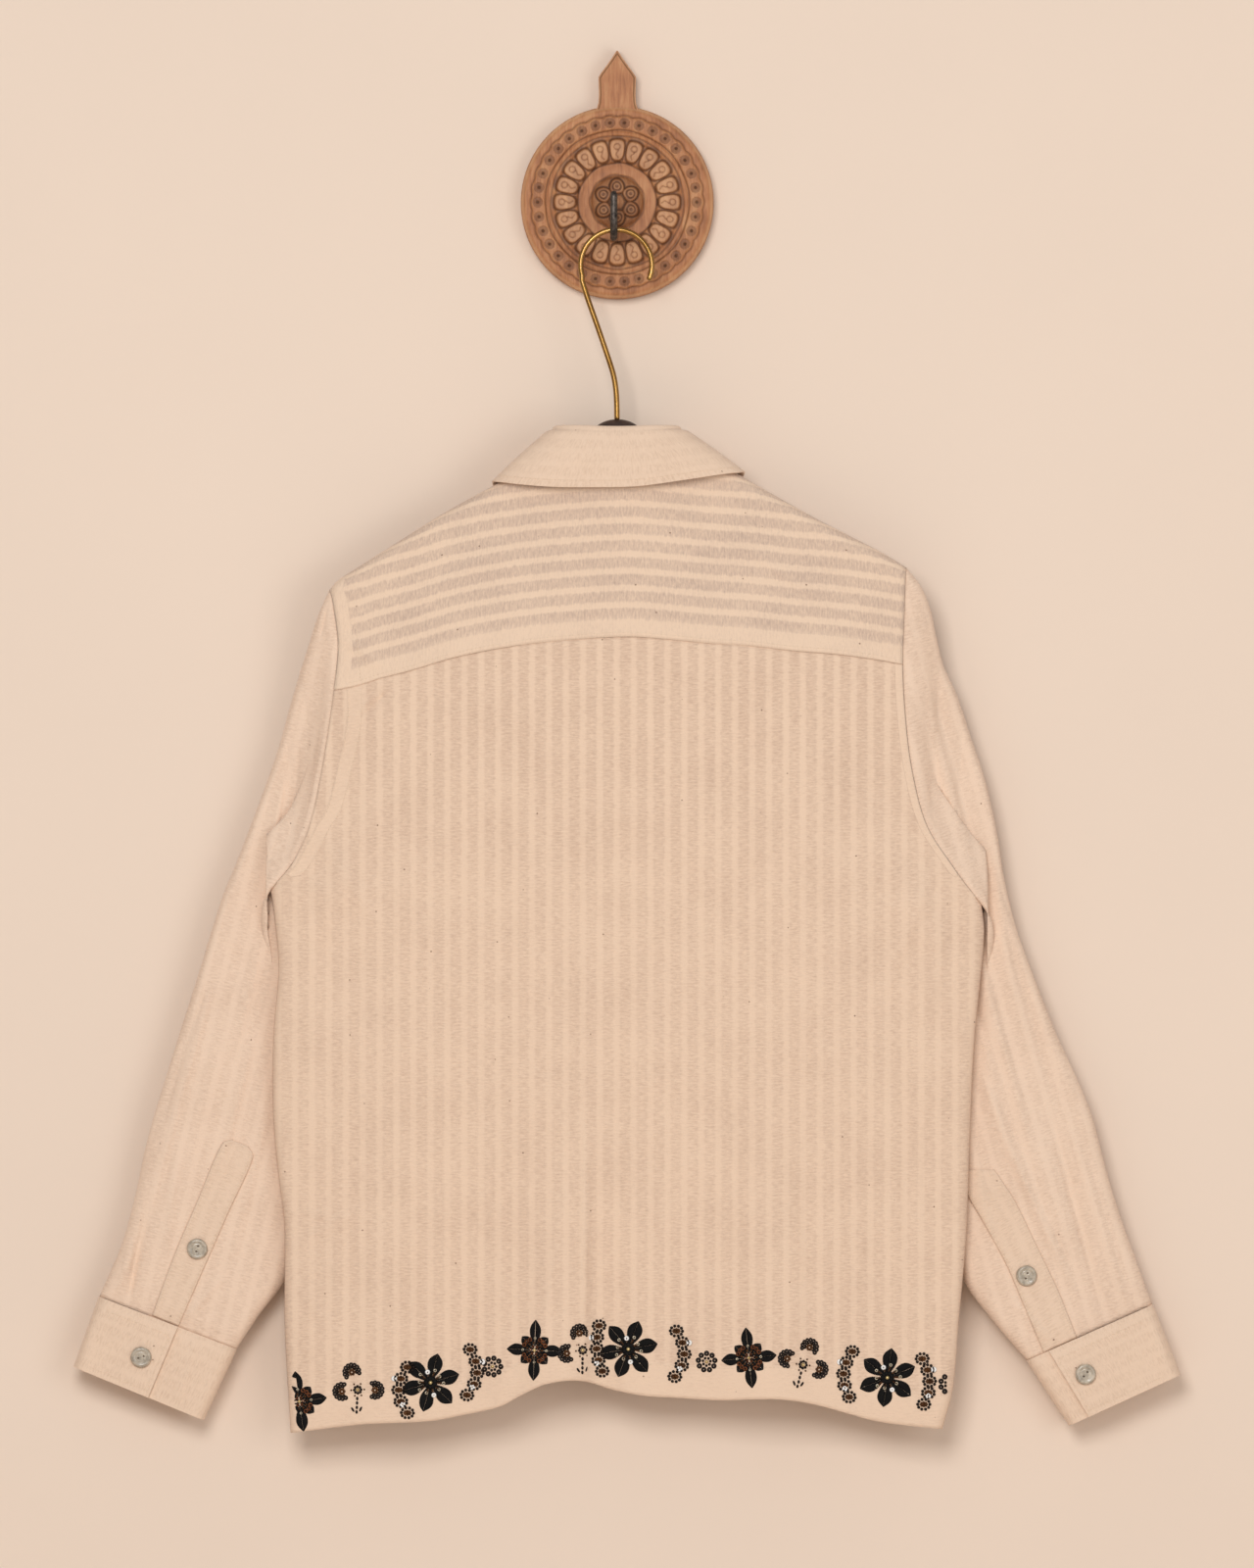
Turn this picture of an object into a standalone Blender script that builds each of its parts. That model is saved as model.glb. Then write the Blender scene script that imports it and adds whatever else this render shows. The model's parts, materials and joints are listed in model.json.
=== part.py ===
"""A khadi shirt hung on a wire-hooked hanger from a carved wooden wall roundel.

The origin is the centre of the roundel's flat back, on the wall. +X is to the right as one faces
the shirt's back, +Z is up, and the wall lies behind the object, towards +Y.
Each piece of cloth is an open surface worked out from the cut's own lines and given its wall by a
Solidify modifier. All tables are in millimetres.
"""
import math

import bmesh
import bpy

MM = 0.001

# Cloth and seams
CLOTH_WALL = 1.2
COLLAR_WALL = 1.5
CUFF_WALL = 2.2
PLACKET_WALL = 1.4
SEAM_GAP = 0.4
SIDE_SEAM_GAP = 1.2
YOKE_SEAM_GAP = 1.0
ARMHOLE_GAP = 1.0
SLEEVE_CLEARANCE = 3.0
PLACKET_GAP = 0.9

# Depths, measured from the wall face at y = 0 towards the room
HANG_PLANE = -45.0
SHOULDER_HALF_DEPTH = 7.4
SLEEVE_PLANE = -25.0
SLEEVE_HALF_DEPTH = 8.6
SLEEVE_BEHIND_BODY = 0.2
ARMPIT_REACH = 40.0
NECK_BULGE = 6.5

# Lengths of the cut
NECK_HALF_WIDTH = 66.0
FRONT_LAP = 16.0
FRONT_HEM_RISE = 4.0
CUFF_LAP = 0.22

# Wall roundel and hooks
FINIAL_THICKNESS = 14.0
IRON_RADIUS = 3.25
WIRE_RADIUS = 2.1
CROOK_CENTRE = (-0.7, -48.8)
CROOK_RADIUS = 26.9

# Buttons
BUTTON_RADIUS = 7.5
BUTTON_THICKNESS = 2.4
SMALL_BUTTON_RADIUS = 5.5

LEFT, RIGHT = "left", "right"

# Top line of the yoke, left to right: across, height. Between the neck points it is the neckline.
TOP_LINE = [
    (-217, -294), (-211, -287), (-199, -279), (-169, -260), (-139, -241), (-115, -227), (-91, -214),
    (-66, -200), (-50, -202), (-33, -203), (-16, -204), (0, -204), (16, -203), (33, -201.5),
    (50, -198), (66, -193), (92, -207), (116, -221), (148, -239), (179, -255), (202, -267),
    (218, -277),
]

# Yoke seam across the back: across, height
YOKE_SEAM = [
    (-211, -368), (-193, -364), (-181, -360), (-154, -353), (-124, -344), (-84, -336), (-48, -331.5),
    (7, -328), (38, -330), (70, -333), (101, -335), (132, -338.5), (163, -341), (194, -345),
    (216, -349),
]

# Armhole stations from shoulder to armpit: height, across
ARMHOLE = {
    LEFT: [
        (-294, -217), (-301.4, -214.6), (-334.7, -210.4), (-368, -213.4), (-401, -217.8),
        (-435.5, -223.8), (-470, -231.6), (-497, -243), (-510.6, -253.6), (-518, -261.5),
    ],
    RIGHT: [
        (-277, 218), (-284.4, 217.2), (-316.7, 216), (-349, 215.2), (-388.6, 217.2),
        (-430, 222.4), (-471.4, 233.6), (-504, 254.4), (-521.6, 267.4), (-529, 274.5),
    ],
}
STATION_SHOULDER, STATION_ARC, STATION_FLAP, STATION_YOKE = 0, 1, 2, 3

# Side seams from armpit to hem: height, across
SIDE_SEAM = {
    LEFT: [
        (-518, -261.5), (-545, -257.5), (-579, -255), (-631, -259), (-690, -259), (-735, -255),
        (-772, -250.5), (-846, -250.5), (-929, -246),
    ],
    RIGHT: [
        (-529, 274.5), (-551, 276.5), (-588, 273.5), (-633, 269), (-694, 266), (-778, 263),
        (-844, 257.5), (-895, 253), (-926, 245),
    ],
}

# Hem of the back: across, height
HEM_LINE = [
    (-246, -929), (-191, -922), (-140, -919.5), (-115, -915), (-89, -909), (-72, -900),
    (-55, -892), (-38, -889), (-23, -890), (-4, -896), (20, -900.5), (42, -902), (77, -904),
    (104, -903), (121, -903), (138, -905), (156, -909), (173, -914), (191, -919), (208, -922),
    (245, -926),
]

# Half the hollow between back and front, in the middle of the body: height, half depth
BODY_DEPTH = [(-190, 8.5), (-300, 11.0), (-420, 14.0), (-560, 16.0), (-760, 15.0), (-930, 13.5)]

# Largest folds of the back: foot and head of each fold, its height towards the room, its half width
BACK_FOLDS = [
    {"foot": (-46, -930), "head": (-30, -620), "height": 9.0, "width": 24.0},
    {"foot": (-12, -930), "head": (-12, -680), "height": -7.0, "width": 15.0},
    {"foot": (60, -930), "head": (48, -600), "height": -4.0, "width": 34.0},
    {"foot": (114, -930), "head": (98, -560), "height": 7.0, "width": 30.0},
    {"foot": (176, -930), "head": (170, -600), "height": -4.0, "width": 26.0},
    {"foot": (-112, -930), "head": (-96, -640), "height": -5.0, "width": 28.0},
    {"foot": (-176, -930), "head": (-168, -560), "height": 5.0, "width": 34.0},
    {"foot": (-236, -560), "head": (-150, -400), "height": 3.0, "width": 16.0},
    {"foot": (246, -570), "head": (160, -410), "height": 3.0, "width": 16.0},
]
FRONT_FOLDS = [
    {"foot": (-150, -930), "head": (-140, -560), "height": 5.0, "width": 40.0},
    {"foot": (-70, -930), "head": (-74, -600), "height": -4.0, "width": 30.0},
    {"foot": (80, -930), "head": (76, -600), "height": -4.0, "width": 30.0},
    {"foot": (156, -930), "head": (146, -560), "height": 5.0, "width": 40.0},
]

# Sleeve edges from the armhole to the cuff seam: share of the length, across, height
SLEEVE_OUTER = {
    LEFT: [
        (0.0, -217, -294), (0.035, -225, -312), (0.075, -232, -333), (0.145, -244, -371),
        (0.225, -255.5, -412), (0.28, -265, -440), (0.39, -287, -498), (0.44, -298, -525),
        (0.55, -316, -583), (0.66, -335, -643), (0.775, -354, -706), (0.86, -364.5, -753),
        (0.925, -374, -787), (1.0, -391, -827),
    ],
    RIGHT: [
        (0.0, 218, -277), (0.025, 229, -291), (0.055, 236, -308), (0.09, 240.5, -328),
        (0.13, 246, -350), (0.17, 256.5, -373), (0.23, 267.5, -406), (0.29, 278, -438),
        (0.355, 286, -473), (0.43, 292.5, -513), (0.495, 301, -548), (0.57, 315.5, -588),
        (0.64, 330, -625), (0.75, 356, -683.5), (0.84, 370, -734.5), (0.90, 380, -767),
        (0.95, 390.5, -796), (1.0, 404, -833),
    ],
}
SLEEVE_INNER = {
    LEFT: [
        (0.0, -261.5, -518), (0.045, -268, -534), (0.12, -267, -560), (0.21, -259, -592),
        (0.35, -250, -641), (0.52, -248.5, -700), (0.69, -246.5, -760), (0.85, -250.5, -812),
        (0.93, -271, -841), (1.0, -288, -866.5),
    ],
    RIGHT: [
        (0.0, 274.5, -529), (0.045, 283, -545), (0.12, 283, -570), (0.21, 276, -600),
        (0.35, 263, -650), (0.52, 258, -706), (0.69, 256, -764), (0.85, 261.5, -813),
        (0.93, 283, -844), (1.0, 310, -875),
    ],
}
# Plane of the sleeve between armhole and cuff: share of the length, distance from the wall face
SLEEVE_PLANES = [
    (0.0, HANG_PLANE), (0.02, -43.5), (0.06, -37.5), (0.12, -30), (0.2, SLEEVE_PLANE),
    (1.0, SLEEVE_PLANE),
]
SLEEVE_ROWS = [
    0.0, 0.025, 0.06, 0.12, 0.2, 0.28, 0.37, 0.46, 0.55, 0.63, 0.70, 0.76, 0.82, 0.88, 0.93, 0.97, 1.0,
]
# Folds along the sleeves: share of length and of width at each end, height, half width
SLEEVE_FOLDS = {
    LEFT: [
        {"foot": (0.98, 0.22), "head": (0.50, 0.30), "height": 3.0, "width": 0.10},
        {"foot": (0.80, 0.80), "head": (0.45, 0.70), "height": 2.5, "width": 0.12},
        {"foot": (0.40, 0.55), "head": (0.08, 0.35), "height": 2.5, "width": 0.12},
    ],
    RIGHT: [
        {"foot": (0.98, 0.30), "head": (0.62, 0.42), "height": 3.5, "width": 0.09},
        {"foot": (0.72, 0.62), "head": (0.38, 0.45), "height": 3.0, "width": 0.11},
        {"foot": (0.30, 0.50), "head": (0.03, 0.16), "height": 3.0, "width": 0.11},
    ],
}

# Lower edge of each cuff: outer corner and inner corner, across and height
CUFF_MOUTH = {LEFT: ((-410, -880), (-313, -920)), RIGHT: ((425, -886), (342, -924))}
# Where the lapped end of each cuff lies, as a share of its width from the outer edge
CUFF_FOLD = {LEFT: 0.575, RIGHT: 0.83}

# Sleeve placket strips from the top to the cuff seam: across and height at the folded edge, then
# across and height at the stitched edge
PLACKET_ROWS = {
    LEFT: [
        (-279.0, -713.5, -290.0, -708.8), (-275.0, -721.5, -298.2, -711.5),
        (-293.0, -762.0, -316.0, -752.5), (-312.0, -805.0, -334.5, -796.0),
        (-331.2, -848.2, -351.0, -840.5),
    ],
    RIGHT: [
        (263.0, -731.0, 284.5, -731.0), (261.0, -742.5, 291.0, -740.0),
        (276.0, -770.0, 301.5, -757.0), (294.0, -803.0, 317.4, -789.9),
        (308.5, -837.0, 332.5, -821.5), (322.0, -868.2, 347.0, -857.0),
    ],
}
# Centres of the placket buttons, across and height, and of the cuff buttons, as shares of the cuff
PLACKET_BUTTON = {LEFT: (-317.0, -790.7), RIGHT: (309.0, -811.0)}
CUFF_BUTTON = {LEFT: (0.54, 0.42), RIGHT: (0.47, 0.68)}
FRONT_BUTTON_HEIGHTS = [-300, -390, -480, -570, -660, -750]
# Halvings of the sleeve's length when a place on it is looked up
SEARCH_STEPS = 24

# Collar: turn round the neck in degrees from the centre back (left is negative), then the fold
# line and the leaf's lower edge, each across, distance from the hang plane and height
COLLAR_ROWS = [
    (-172, (-6, 25.0, -226), (-58, 21.5, -298)),
    (-152, (-22, 24.5, -214), (-72, 20.5, -274)),
    (-130, (-38, 19.0, -196), (-84, 17.5, -246)),
    (-108, (-46.5, 9.0, -179), (-91.5, 11.5, -221)),
    (-90, (-48.5, 0.0, -171.5), (-94.0, 0.0, -210)),
    (-72, (-46.5, -9.0, -170.2), (-90.0, -11.5, -210.5)),
    (-52, (-38, -15.5, -170), (-74, -18.0, -214)),
    (-32, (-25, -18.5, -170.2), (-48, -21.0, -216.3)),
    (-12, (-10, -19.5, -170.8), (-16, -22.5, -216.6)),
    (12, (10, -19.5, -170.8), (16, -22.5, -215.8)),
    (32, (25, -18.5, -170.2), (48, -21.0, -211.5)),
    (52, (38, -15.5, -170), (74, -18.0, -207.5)),
    (72, (46.0, -9.0, -170.2), (91.0, -11.5, -203.5)),
    (90, (48.0, 0.0, -171.5), (96.0, 0.0, -203)),
    (108, (46.0, 9.0, -178), (92.5, 11.5, -214)),
    (130, (38, 19.0, -195), (85, 17.5, -241)),
    (152, (22, 24.5, -213), (73, 20.5, -271)),
    (172, (6, 25.0, -225), (60, 21.5, -296)),
]
# Foot of the collar stand at the same turns: across, distance from the hang plane, height
STAND_FOOT = [
    (-8, 14.0, -258), (-30, 13.0, -252), (-49, 10.5, -240), (-63.5, 9.2, -212),
    (-65.0, 0.0, -199.0), (-60.0, -6.5, -200.5), (-48, -10.0, -201.5), (-30, -12.2, -202.5),
    (-10, -13.2, -203), (10, -13.2, -202.5), (30, -12.2, -201), (48, -10.0, -197.5),
    (60.0, -6.5, -193.5), (65.0, 0.0, -192.0), (63.5, 9.2, -205), (49, 10.5, -234),
    (30, 13.0, -250), (8, 14.0, -258),
]

# Hanger bar: across, height of its top edge, height of its lower edge, half thickness
HANGER_SECTIONS = [
    (-206, -292.5, -306, 3.5), (-203, -287.5, -309, 5.2), (-190, -276.5, -303, 6.0),
    (-150, -251.5, -283, 6.0), (-110, -228, -264, 6.0), (-80, -215, -251, 6.0),
    (-60, -206, -243, 6.0), (-40, -193, -236, 6.0), (-24, -178, -230, 7.5),
    (-15, -169.5, -227, 9.5), (-8, -166, -226, 10.5), (0, -164.8, -225.5, 11.0),
    (8, -166, -226, 10.5), (15, -169.5, -227, 9.5), (24, -178, -230, 7.5),
    (40, -190, -234, 6.0), (60, -200, -240, 6.0), (80, -207.5, -246, 6.0),
    (110, -222.5, -258, 6.0), (150, -245, -277, 6.0), (190, -266, -294, 6.0),
    (208, -275.5, -299, 5.2), (211, -280, -296, 3.5),
]

# Wire from the crook's open end over the top and down into the hanger: across, height
WIRE_FOOT = [(-26.5, -60.5), (-22, -74.7), (-15, -94.5), (-8.4, -113.8), (-3.5, -129), (-1.3, -139.9),
             (-0.4, -151), (-0.1, -164.2)]
WIRE_TIP_ANGLE, WIRE_HEEL_ANGLE = -26.0, 196.0

# Forged hook, seen from the side: distance from the wall face, height
IRON_HOOK = [(-22.5, -9), (-28, -10.5), (-34, -15.5), (-38, -22.5), (-45, -27.9), (-52.5, -24.5),
             (-56.5, -17), (-57.5, -8), (-57.0, 0), (-55.8, 7)]
IRON_ACROSS = -2.5

# Carved face of the roundel, turned: radius, distance from the wall face
ROUNDEL_PROFILE = [
    (0, 22), (12, 21.5), (18, 19), (20, 16.5), (29, 16.5), (31, 18.3), (38, 19.2), (46, 18.3),
    (48.5, 16.2), (53, 16.2), (54.5, 17.6), (63.5, 17.6), (65, 16.2), (70, 15.5), (73, 12.5), (73, 0),
]
# Right half of the finial's outline: across, height
FINIAL_HALF = [
    (0.5, 114.7), (4, 109.2), (8, 103.5), (12, 98.2), (14.2, 94.5), (14, 88), (13.8, 81),
    (14.2, 75), (17, 66),
]


def smoothstep(value):
    """Ease from 0 to 1."""
    value = min(max(value, 0.0), 1.0)
    return value * value * (3.0 - 2.0 * value)


def read_line(table, where, column=1):
    """Read a column of a table by straight lines between its rows, ordered up or down."""
    rows = table if table[0][0] < table[-1][0] else table[::-1]
    if where <= rows[0][0]:
        return rows[0][column]
    for low, high in zip(rows, rows[1:]):
        if where <= high[0]:
            share = (where - low[0]) / (high[0] - low[0])
            return low[column] + (high[column] - low[column]) * share
    return rows[-1][column]


def mix(start, end, share):
    """Blend two points or numbers."""
    if isinstance(start, tuple):
        return tuple(mix(a, b, share) for a, b in zip(start, end))
    return start + (end - start) * share


def fold_height(across, along, folds):
    """Height of the folds at a point: each swells from nothing at its head to full at its foot."""
    total = 0.0
    for fold in folds:
        foot_x, foot_z = fold["foot"]
        head_x, head_z = fold["head"]
        share = (along - head_z) / (foot_z - head_z)
        if share <= 0.0:
            continue
        share = min(share, 1.0)
        centre = head_x + (foot_x - head_x) * share
        offset = (across - centre) / fold["width"]
        total += fold["height"] * smoothstep(share) * math.exp(-offset * offset)
    return total


def sleeve_fold_height(length_share, width_share, folds):
    """Height of a sleeve's folds, which fade out at both ends."""
    total = 0.0
    for fold in folds:
        foot_s, foot_w = fold["foot"]
        head_s, head_w = fold["head"]
        share = (length_share - head_s) / (foot_s - head_s)
        if share <= 0.0 or share >= 1.0:
            continue
        centre = head_w + (foot_w - head_w) * share
        offset = (width_share - centre) / fold["width"]
        total += fold["height"] * math.sin(math.pi * share) * math.exp(-offset * offset)
    return total


def body_edge(side, height):
    """Where the body ends at one side: the armhole above the armpit, the side seam below it."""
    armpit = ARMHOLE[side][-1][0]
    if height >= armpit:
        return read_line(ARMHOLE[side], height)
    return read_line(SIDE_SEAM[side], height)


def half_depth(across, height, folds):
    """Half the hollow of the body at a point: thin at its edges and at the shoulder."""
    inset = min(across - body_edge(LEFT, height), body_edge(RIGHT, height) - across)
    drop = read_line(TOP_LINE, across) - SHOULDER_HALF_DEPTH - height
    edge_ease = smoothstep(inset / 110.0)
    swell = (read_line(BODY_DEPTH, height) - SHOULDER_HALF_DEPTH) * edge_ease * smoothstep(drop / 110.0)
    neck = NECK_BULGE * math.exp(-(across / 42.0) ** 2) * math.exp(-((height + 200.0) / 75.0) ** 2)
    folded = fold_height(across, height, folds) * smoothstep(inset / 45.0)
    return SHOULDER_HALF_DEPTH + swell + neck + folded


def armhole_stations(side, first, last):
    """Heights of the armhole stations from one number to another."""
    return [ARMHOLE[side][number][0] for number in range(first, last + 1)]


def body_rows(first_station):
    """Heights of a panel's rows at the left and right edge, armhole stations first, then the side."""
    last = len(ARMHOLE[LEFT]) - 1
    left = armhole_stations(LEFT, first_station, last)
    right = armhole_stations(RIGHT, first_station, last)
    side_rows = 12
    for number in range(1, side_rows + 1):
        share = number / side_rows
        left.append(mix(ARMHOLE[LEFT][-1][0], SIDE_SEAM[LEFT][-1][0], share))
        right.append(mix(ARMHOLE[RIGHT][-1][0], SIDE_SEAM[RIGHT][-1][0], share))
    return left, right


def edge_turn(side, height):
    """How far the panel's edge has opened: 90 degrees at an armhole, 0 where it meets a side seam."""
    armpit = ARMHOLE[side][-1][0]
    open_from = ARMHOLE[side][-2][0]
    if height <= armpit:
        return 0.0
    return math.pi / 2 * min((height - armpit) / (open_from - armpit), 1.0)


def edge_cap(side, height, step, steps):
    """Distance in from the edge and share of the depth at a column of the rounded edge."""
    start = edge_turn(side, height)
    turn = start + (math.pi / 2 - start) * step / steps
    radius = SHOULDER_HALF_DEPTH
    flat_share = start / (math.pi / 2)
    inset = radius * (math.cos(start) - math.cos(turn)) + radius * flat_share * step / steps
    return inset, math.sin(turn)


CAP_STEPS = 2


def column_shares(count):
    """Shares of the width of the columns between the two rounded edges."""
    return [number / count for number in range(count + 1)]


def across_row(left_x, right_x, left_height, right_height, shares):
    """Columns of one row: across, share of depth and share of width, edge columns first."""
    columns = []
    for step in range(CAP_STEPS):
        inset, depth = edge_cap(LEFT, left_height, step, CAP_STEPS)
        columns.append((left_x + inset, depth))
    left_inner = left_x + edge_cap(LEFT, left_height, CAP_STEPS, CAP_STEPS)[0]
    right_inner = right_x - edge_cap(RIGHT, right_height, CAP_STEPS, CAP_STEPS)[0]
    for share in shares:
        columns.append((mix(left_inner, right_inner, share), 1.0))
    for step in reversed(range(CAP_STEPS)):
        inset, depth = edge_cap(RIGHT, right_height, step, CAP_STEPS)
        columns.append((right_x - inset, depth))
    return columns


def panel_depth(depth_share, depth):
    """Depth of a panel's point, which stops half a seam gap short of the other panel."""
    return max(depth_share * depth, SIDE_SEAM_GAP / 2)


def back_grid():
    """Points of the back panel, row by row from the yoke seam to the hem."""
    left_rows, right_rows = body_rows(STATION_YOKE)
    top_left, top_right = left_rows[0], right_rows[0]
    armpit_row = left_rows.index(ARMHOLE[LEFT][-1][0])
    grid = []
    for number, (left_z, right_z) in enumerate(zip(left_rows, right_rows)):
        left_x = body_edge(LEFT, left_z) + SEAM_GAP / 2 * (left_z > ARMHOLE[LEFT][-1][0])
        right_x = body_edge(RIGHT, right_z) - SEAM_GAP / 2 * (right_z > ARMHOLE[RIGHT][-1][0])
        row = []
        for across, depth_share in across_row(left_x, right_x, left_z, right_z, column_shares(26)):
            share = (across - left_x) / (right_x - left_x)
            straight = mix(left_z, right_z, share)
            seam = read_line(YOKE_SEAM, across) - mix(top_left, top_right, share)
            hem = read_line(HEM_LINE, across) - mix(left_rows[-1], right_rows[-1], share)
            if number <= armpit_row:
                height = straight + seam * (1.0 - number / armpit_row)
            else:
                below = (number - armpit_row) / (len(left_rows) - 1 - armpit_row)
                height = straight + hem * below
            depth = panel_depth(depth_share, half_depth(across, height, BACK_FOLDS))
            if number == 0:
                height -= YOKE_SEAM_GAP / 2
            row.append((across, HANG_PLANE - depth, height))
        grid.append(row)
    return grid


def yoke_columns():
    """Columns of the yoke: across at the top line, with the neck points among them."""
    left = [-217, -208, -193, -169, -142, -115, -90, -NECK_HALF_WIDTH]
    middle = [-50, -33, -16, 0, 16, 33, 50]
    right = [NECK_HALF_WIDTH, 91, 116, 142, 169, 193, 209, 218]
    return left + middle + right


YOKE_BACK_ROWS = 4
YOKE_ARC_ROWS = 6
YOKE_FLAP_ROWS = 2


def yoke_flap_end(across):
    """How far below the shoulder the yoke's front seam lies, the same share as on the back."""
    side = LEFT if across < 0 else RIGHT
    return ARMHOLE[side][STATION_ARC][0] - ARMHOLE[side][STATION_FLAP][0]


def yoke_back_point(column, share):
    """A point of the yoke's back, share 0 at the yoke seam and 1 where it turns over the top."""
    top = read_line(TOP_LINE, column)
    in_neck = abs(column) < NECK_HALF_WIDTH
    high = top - (0.0 if in_neck else SHOULDER_HALF_DEPTH)
    side = LEFT if column < 0 else RIGHT
    shoulder = abs(ARMHOLE[side][STATION_SHOULDER][1])
    lean = smoothstep((abs(column) - NECK_HALF_WIDTH) / (shoulder - NECK_HALF_WIDTH))
    shoulder_edge = body_edge(side, mix(ARMHOLE[side][STATION_YOKE][0], ARMHOLE[side][STATION_ARC][0], share))
    across = column + (shoulder_edge - math.copysign(shoulder, column)) * lean
    seam = read_line(YOKE_SEAM, across) + YOKE_SEAM_GAP / 2
    height = mix(seam, high, share)
    return across, height


def yoke_grid():
    """Rows of the yoke from the back seam over the shoulder to the front seam, None in the neck."""
    columns = yoke_columns()
    grid = []
    for number in range(YOKE_BACK_ROWS + 1):
        row = []
        for column in columns:
            across, height = yoke_back_point(column, number / YOKE_BACK_ROWS)
            across = trim_to_armhole(across, column)
            row.append((across, HANG_PLANE - half_depth(across, height, BACK_FOLDS), height))
        grid.append(row)
    for number in range(1, YOKE_ARC_ROWS + 1):
        turn = math.pi * number / YOKE_ARC_ROWS
        row = []
        for column in columns:
            row.append(yoke_arc_point(column, turn))
        grid.append(row)
    for number in range(1, YOKE_FLAP_ROWS + 1):
        row = []
        for column in columns:
            row.append(yoke_flap_point(column, number / YOKE_FLAP_ROWS))
        grid.append(row)
    return grid


def trim_to_armhole(across, column):
    """Hold the yoke's outer columns half a seam gap inside the armhole."""
    if abs(column) >= abs(ARMHOLE[LEFT if column < 0 else RIGHT][STATION_SHOULDER][1]):
        return across - math.copysign(SEAM_GAP / 2, column)
    return across


def yoke_arc_point(column, turn):
    """A point of the yoke where it rolls over the hanger, or None between the neck points."""
    if abs(column) < NECK_HALF_WIDTH:
        return None
    base = read_line(TOP_LINE, column) - SHOULDER_HALF_DEPTH
    side = LEFT if column < 0 else RIGHT
    shoulder = ARMHOLE[side][STATION_SHOULDER][1]
    lift = SHOULDER_HALF_DEPTH * math.sin(turn)
    lean = smoothstep((abs(column) - NECK_HALF_WIDTH) / (abs(shoulder) - NECK_HALF_WIDTH))
    across = column + (body_edge(side, ARMHOLE[side][STATION_ARC][0] + lift) - shoulder) * lean
    across = trim_to_armhole(across, column)
    depth = half_depth(across, base, BACK_FOLDS if turn < math.pi / 2 else FRONT_FOLDS)
    return across, HANG_PLANE - depth * math.cos(turn), base + lift


def yoke_flap_point(column, share):
    """A point of the yoke's front flap, share 0 under the roll and 1 at the front seam."""
    if abs(column) < NECK_HALF_WIDTH:
        return None
    side = LEFT if column < 0 else RIGHT
    shoulder = ARMHOLE[side][STATION_SHOULDER][1]
    lean = smoothstep((abs(column) - NECK_HALF_WIDTH) / (abs(shoulder) - NECK_HALF_WIDTH))
    height = read_line(TOP_LINE, column) - SHOULDER_HALF_DEPTH - yoke_flap_end(column) * share
    edge_height = ARMHOLE[side][STATION_ARC][0] - yoke_flap_end(column) * share
    toward_neck = math.copysign(15.0 * share, column) * (1.0 - lean)
    across = column + (body_edge(side, edge_height) - shoulder) * lean - toward_neck
    across = trim_to_armhole(across, column)
    return across, HANG_PLANE + half_depth(across, height, FRONT_FOLDS), height


def front_top_line(side):
    """Top edge of one front from the armhole to the centre: the yoke seam, then the neckline."""
    columns = [column for column in yoke_columns() if (column < 0) == (side == LEFT)]
    columns = [column for column in columns if abs(column) >= NECK_HALF_WIDTH]
    columns.sort(key=abs, reverse=True)
    line = []
    for column in columns:
        across, _, height = yoke_flap_point(column, 1.0)
        line.append((across, height - YOKE_SEAM_GAP))
    neck_x, neck_z = line[-1]
    sign = -1.0 if side == LEFT else 1.0
    centre = FRONT_LAP * -sign
    for share in (0.3, 0.6, 0.85, 1.0):
        across = mix(neck_x, centre, share)
        drop = (-262.0 - neck_z) * math.sin(math.pi / 2 * min(share / 0.85, 1.0))
        line.append((across, neck_z + drop))
    return line


def front_grid(side):
    """Points of one front panel, from its armhole and side seam to its free edge at the centre."""
    left_rows, right_rows = body_rows(STATION_FLAP)
    rows = left_rows if side == LEFT else right_rows
    top_line = front_top_line(side)
    armpit = ARMHOLE[side][-1][0]
    armpit_row = rows.index(armpit)
    inward = 1.0 if side == LEFT else -1.0
    under = 0.0 if side == LEFT else CLOTH_WALL + SEAM_GAP
    centre = top_line[-1][0]
    grid = []
    for number, edge_z in enumerate(rows):
        edge_x = body_edge(side, edge_z) + inward * SEAM_GAP / 2 * (edge_z > armpit)
        row = []
        for step in range(CAP_STEPS):
            inset, depth_share = edge_cap(side, edge_z, step, CAP_STEPS)
            across = edge_x + inward * inset
            depth = panel_depth(depth_share, half_depth(across, edge_z, FRONT_FOLDS))
            row.append((across, HANG_PLANE + depth, edge_z))
        inner_x = edge_x + inward * edge_cap(side, edge_z, CAP_STEPS, CAP_STEPS)[0]
        for place, (top_x, top_z) in enumerate(top_line[1:]):
            even = place / (len(top_line) - 2)
            spread = smoothstep(number / armpit_row)
            across = mix(top_x, mix(inner_x, centre, even), spread) if number else top_x
            if place == 0 and number == 0:
                across = top_x
            if number <= armpit_row:
                height = mix(top_z, armpit, (edge_z - rows[0]) / (armpit - rows[0]))
            else:
                below = (edge_z - armpit) / (rows[-1] - armpit)
                height = mix(armpit, read_line(HEM_LINE, across) + FRONT_HEM_RISE, below)
            lapped = under * smoothstep((FRONT_LAP + 30.0 - abs(across)) / 30.0)
            depth = half_depth(across, height, FRONT_FOLDS) - lapped
            row.append((across, HANG_PLANE + depth, height))
        grid.append(row)
    return grid


def sleeve_rings(side):
    """Shares along the armhole of the ring's stations, from shoulder to armpit."""
    stations = [row[0] for row in ARMHOLE[side]]
    return [(stations[0] - height) / (stations[0] - stations[-1]) for height in stations]


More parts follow.
